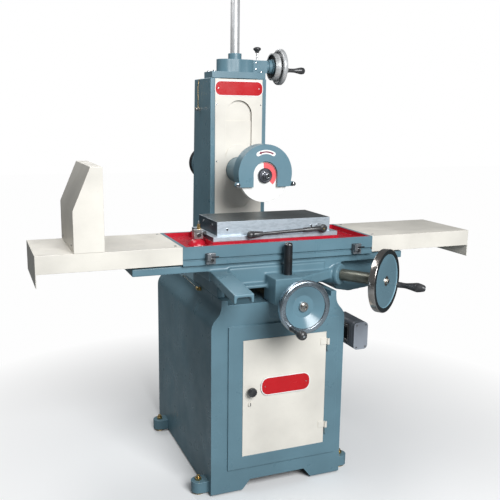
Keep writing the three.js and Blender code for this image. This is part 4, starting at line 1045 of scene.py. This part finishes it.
def make_wheel_mount():
    start, deep, _ = turned("wheel_flange_front", SPINDLE, FRONT)
    flange = Turning()
    flange.lathe(start, FRONT, [
        (0.016, 0), (0.0275, 0), (0.0275, deep - 0.004), (0.0235, deep), (0.0205, deep),
        (0.0205, deep - 0.0012), (0.0192, deep - 0.0012), (0.0192, deep), (0.016, deep),
    ], 96, closed=True)
    flange.stand_in("wheel_flange_front", [gunmetal], 0.0005)
    refine("wheel_flange_rear", 0.0008)
    start, deep, _ = turned("wheel_nut", SPINDLE, FRONT)
    nut = Turning()
    nut.lathe(start, FRONT, [
        (0.0094, 0), (0.015, 0), (0.015, deep - 0.002), (0.0128, deep), (0.0094, deep),
    ], 72, hexed(1, 2), closed=True)
    nut.stand_in("wheel_nut", [gunmetal], 0.0008)
    start, deep, _ = turned("spindle", SPINDLE, BACK)
    nose = Turning()
    nose.lathe(start, BACK, [
        (0, 0.007, 1), (0.004, 0.007, 1), (0.004, 0), (0.009, 0), (0.009, 0.024), (0.0155, 0.024),
        (0.0155, 0.0583), (0.017, 0.0583), (0.017, deep), (0, deep),
    ], 72)
    nose.stand_in("spindle", [chrome, dark_gap], 0.0006)


# ---- saddle, table and chuck
def make_saddle():
    """The saddle is a casting, so its skin is remeshed and relaxed until corners and fillets are round."""
    piece = new_piece("saddle_finish", cad_mesh("saddle"), [blue], "saddle_body", "blue_paint")
    remesh = piece.modifiers.new("cast_skin", "REMESH")
    remesh.mode = "VOXEL"
    remesh.voxel_size = 0.0034
    relax = piece.modifiers.new("cast_fillets", "SMOOTH")
    relax.factor = 0.5
    relax.iterations = 3
    evaluated = piece.evaluated_get(bpy.context.evaluated_depsgraph_get())
    settled = bpy.data.meshes.new_from_object(evaluated)
    piece.modifiers.clear()
    piece.data = settled
    settled.polygons.foreach_set("use_smooth", [True] * len(settled.polygons))
    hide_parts("saddle")
    refine("table_stop_post", 0.001)


def make_table():
    """The table's tray and the top of its rim are red: the rim's front is a thin coat over the blue."""
    low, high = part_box("table")
    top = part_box("table_guard_left")[1].z
    tray = top - 0.019
    edge = 0.005

    def inside(corner):
        return low.x + edge < corner.x < high.x - edge and low.y + edge < corner.y < high.y - edge

    def pick(corners, _):
        return 2 if all(inside(c) and c.z > tray for c in corners) else 0

    refine("table", 0.0016, extra=(red,), pick=pick)
    coat = Turning()
    rim = 0.0115
    coat.block(
        Vector((low.x + rim, low.y + 0.0016, top + 0.0001)),
        Vector((high.x - rim, low.y + rim, top + 0.0005)))
    coat.done("table_front_rim_paint", "work_table", [red], "blue_paint", 0.0001)
    refine("table_rack", 0.0004)


def make_table_guards():
    refine_each(0.0012, "table_guard_left", "table_guard_right")
    refine("splash_hood", 0.0016)
    screws = Turning()
    for node, near, inset in (("table_guard_left", 1, -0.018), ("table_guard_right", 0, 0.018)):
        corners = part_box(node)
        for y in (corners[0].y + 0.03, corners[1].y - 0.03):
            socket_screw(screws, (corners[near].x + inset, y, corners[1].z), UP, 0.0045, 0.0022)
    low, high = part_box("splash_hood")
    for y in (low.y + 0.05, high.y - 0.05):
        socket_screw(screws, (low.x, y, low.z + 0.02), LEFT, 0.004, 0.002)
    screws.done("guard_screws", "work_table", [steel, dark_gap], "steel", 0.0003)


def make_dogs():
    dogs = "table_dog_left", "table_dog_right"
    refine_each(0.001, *dogs, face=bead_blasted)
    for node in dogs:
        dog_screws(node)


def dog_screws(node):
    """Clamping screw low on the dog's face and the small adjusting screw through its hook."""
    low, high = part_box(node)
    shapes = Turning()
    socket_screw(shapes, ((low.x + high.x) / 2 + 0.003, low.y + 0.0069, low.z + 0.014), FRONT, 0.0055, 0.003)
    tip = high.x - 0.002, low.y + 0.008, high.z - 0.012
    shapes.lathe(tip, RIGHT, washer(0, 0.0026, -0.012, 0.012), 24)
    shapes.done(node + "_screws", BODY_OF[node], [dark_steel, dark_gap], "black_oxide", 0.0004)


def make_chuck():
    low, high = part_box("magnetic_chuck")
    end = low.x + 0.025

    def pick(corners, normal):
        if normal.z > 0.7 and corners[0].z > high.z - 0.002:
            return 2
        if normal.x < -0.7 and corners[0].x < end:
            return 3
        return 0

    # only the chuck's left end face gets this dark blue-black
    dark_left_end = paint("chuck_dark_left_end", (0.02, 0.045, 0.06), 0.35)
    refine("magnetic_chuck", 0.0009, extra=(pole_steel, dark_left_end), pick=pick)
    screws = Turning()
    middle = (low.y + high.y) / 2
    for y in (middle - 0.05, middle + 0.05):
        socket_screw(screws, (low.x + 0.022, y, high.z - 0.017), LEFT, 0.0045, 0.0025)
    for x in (low.x + 0.06, high.x - 0.1):
        socket_screw(screws, (x, low.y + 0.022, high.z - 0.0285), FRONT, 0.004, 0.002)
    screws.done("chuck_screws", "work_table", [chrome, dark_gap], "chrome", 0.0003)


def make_lever():
    """Its boss, its two-part arm, and a grip with a round end."""
    at = pivot("chuck_lever_turn")
    droop = math.radians(1.9)
    along = Vector((-math.cos(droop), 0, -math.sin(droop)))
    length = 0.303
    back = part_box("chuck_lever")[1].y - at.y
    shapes = Turning()
    boss = [(0, -0.0102), (0.011, -0.0098), (0.0152, -0.006), (0.0155, 0), (0.0155, 0.0118)]
    shapes.lathe(at, BACK, [
        *smooth_profile(boss, 4), (0.0134, 0.014), (0.0134, 0.0355), (0.0098, 0.0355), (0.0098, back),
        (0, back),
    ], 48)
    joint = length - 0.05
    shapes.lathe(at, along, [
        (0, 0.008), (0.0095, 0.01), (0.009, 0.08), (0.0068, 0.084), (0.0058, joint), (0, joint),
    ], 32)
    shapes.lathe(at + along * (length - 0.06), along, [
        (0, 0), (0.0092, 0), (0.0094, 0.003), (0.0128, 0.036), (0.0118, 0.038), (0, 0.038),
    ], 40, material=1)
    shapes.lathe(at + along * (length - 0.023), along, smooth_profile([
        (0, 0), (0.011, 0.0002), (0.0136, 0.005), (0.0138, 0.011), (0.0118, 0.0175), (0.0065, 0.022),
        (0, 0.023),
    ]), 40, material=1)
    shapes.lathe(at + along * 0.048, UP, [(0.0026, 0), (0.0026, 0.0145), (0, 0.0145)], 20)
    socket_screw(shapes, at + FRONT * 0.0098, FRONT, 0.0036, 0.0012, 2, 0)
    shapes.done("chuck_lever_finish", "chuck_switch", [black, black, brass], "black_plastic", 0.0006,
                ("chuck_lever",), angle=50)


def make_clamp():
    refine("coolant_clamp", 0.0012)
    low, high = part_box("coolant_clamp")
    x, y = (low.x + high.x) / 2, (low.y + high.y) / 2
    fitting = Turning()
    fitting.lathe((x + 0.005, y + 0.002, high.z - 0.031), UP, [
        (0.0078, 0), (0.0078, 0.008), (0.0062, 0.008), (0.0062, 0.02), (0, 0.02),
    ], 36, hexed(0, 1))
    fitting.done("coolant_fitting", "work_table", [brass], "brass", 0.0005)
    screws = Turning()
    socket_screw(screws, (x + 0.001, low.y, high.z - 0.05), FRONT, 0.0068, 0.002)
    screws.lathe((high.x, y, high.z - 0.047), RIGHT, [
        (0.003, -0.001), (0.003, 0.005), (0.0075, 0.005), (0.0075, 0.015), (0, 0.015),
    ], 60, fluted(20, 0.04, 2, 3))
    screws.done("coolant_clamp_screws", "work_table", [dark_steel, dark_gap], "black_oxide", 0.0004)


make_wheelhead()
make_guard_label()
make_guard_knobs()
make_motor()
make_fan_cover()
make_fan()
make_grinding_wheel()
make_wheel_mount()
make_saddle()
make_table()
make_table_guards()
make_dogs()
make_chuck()
make_lever()
make_clamp()
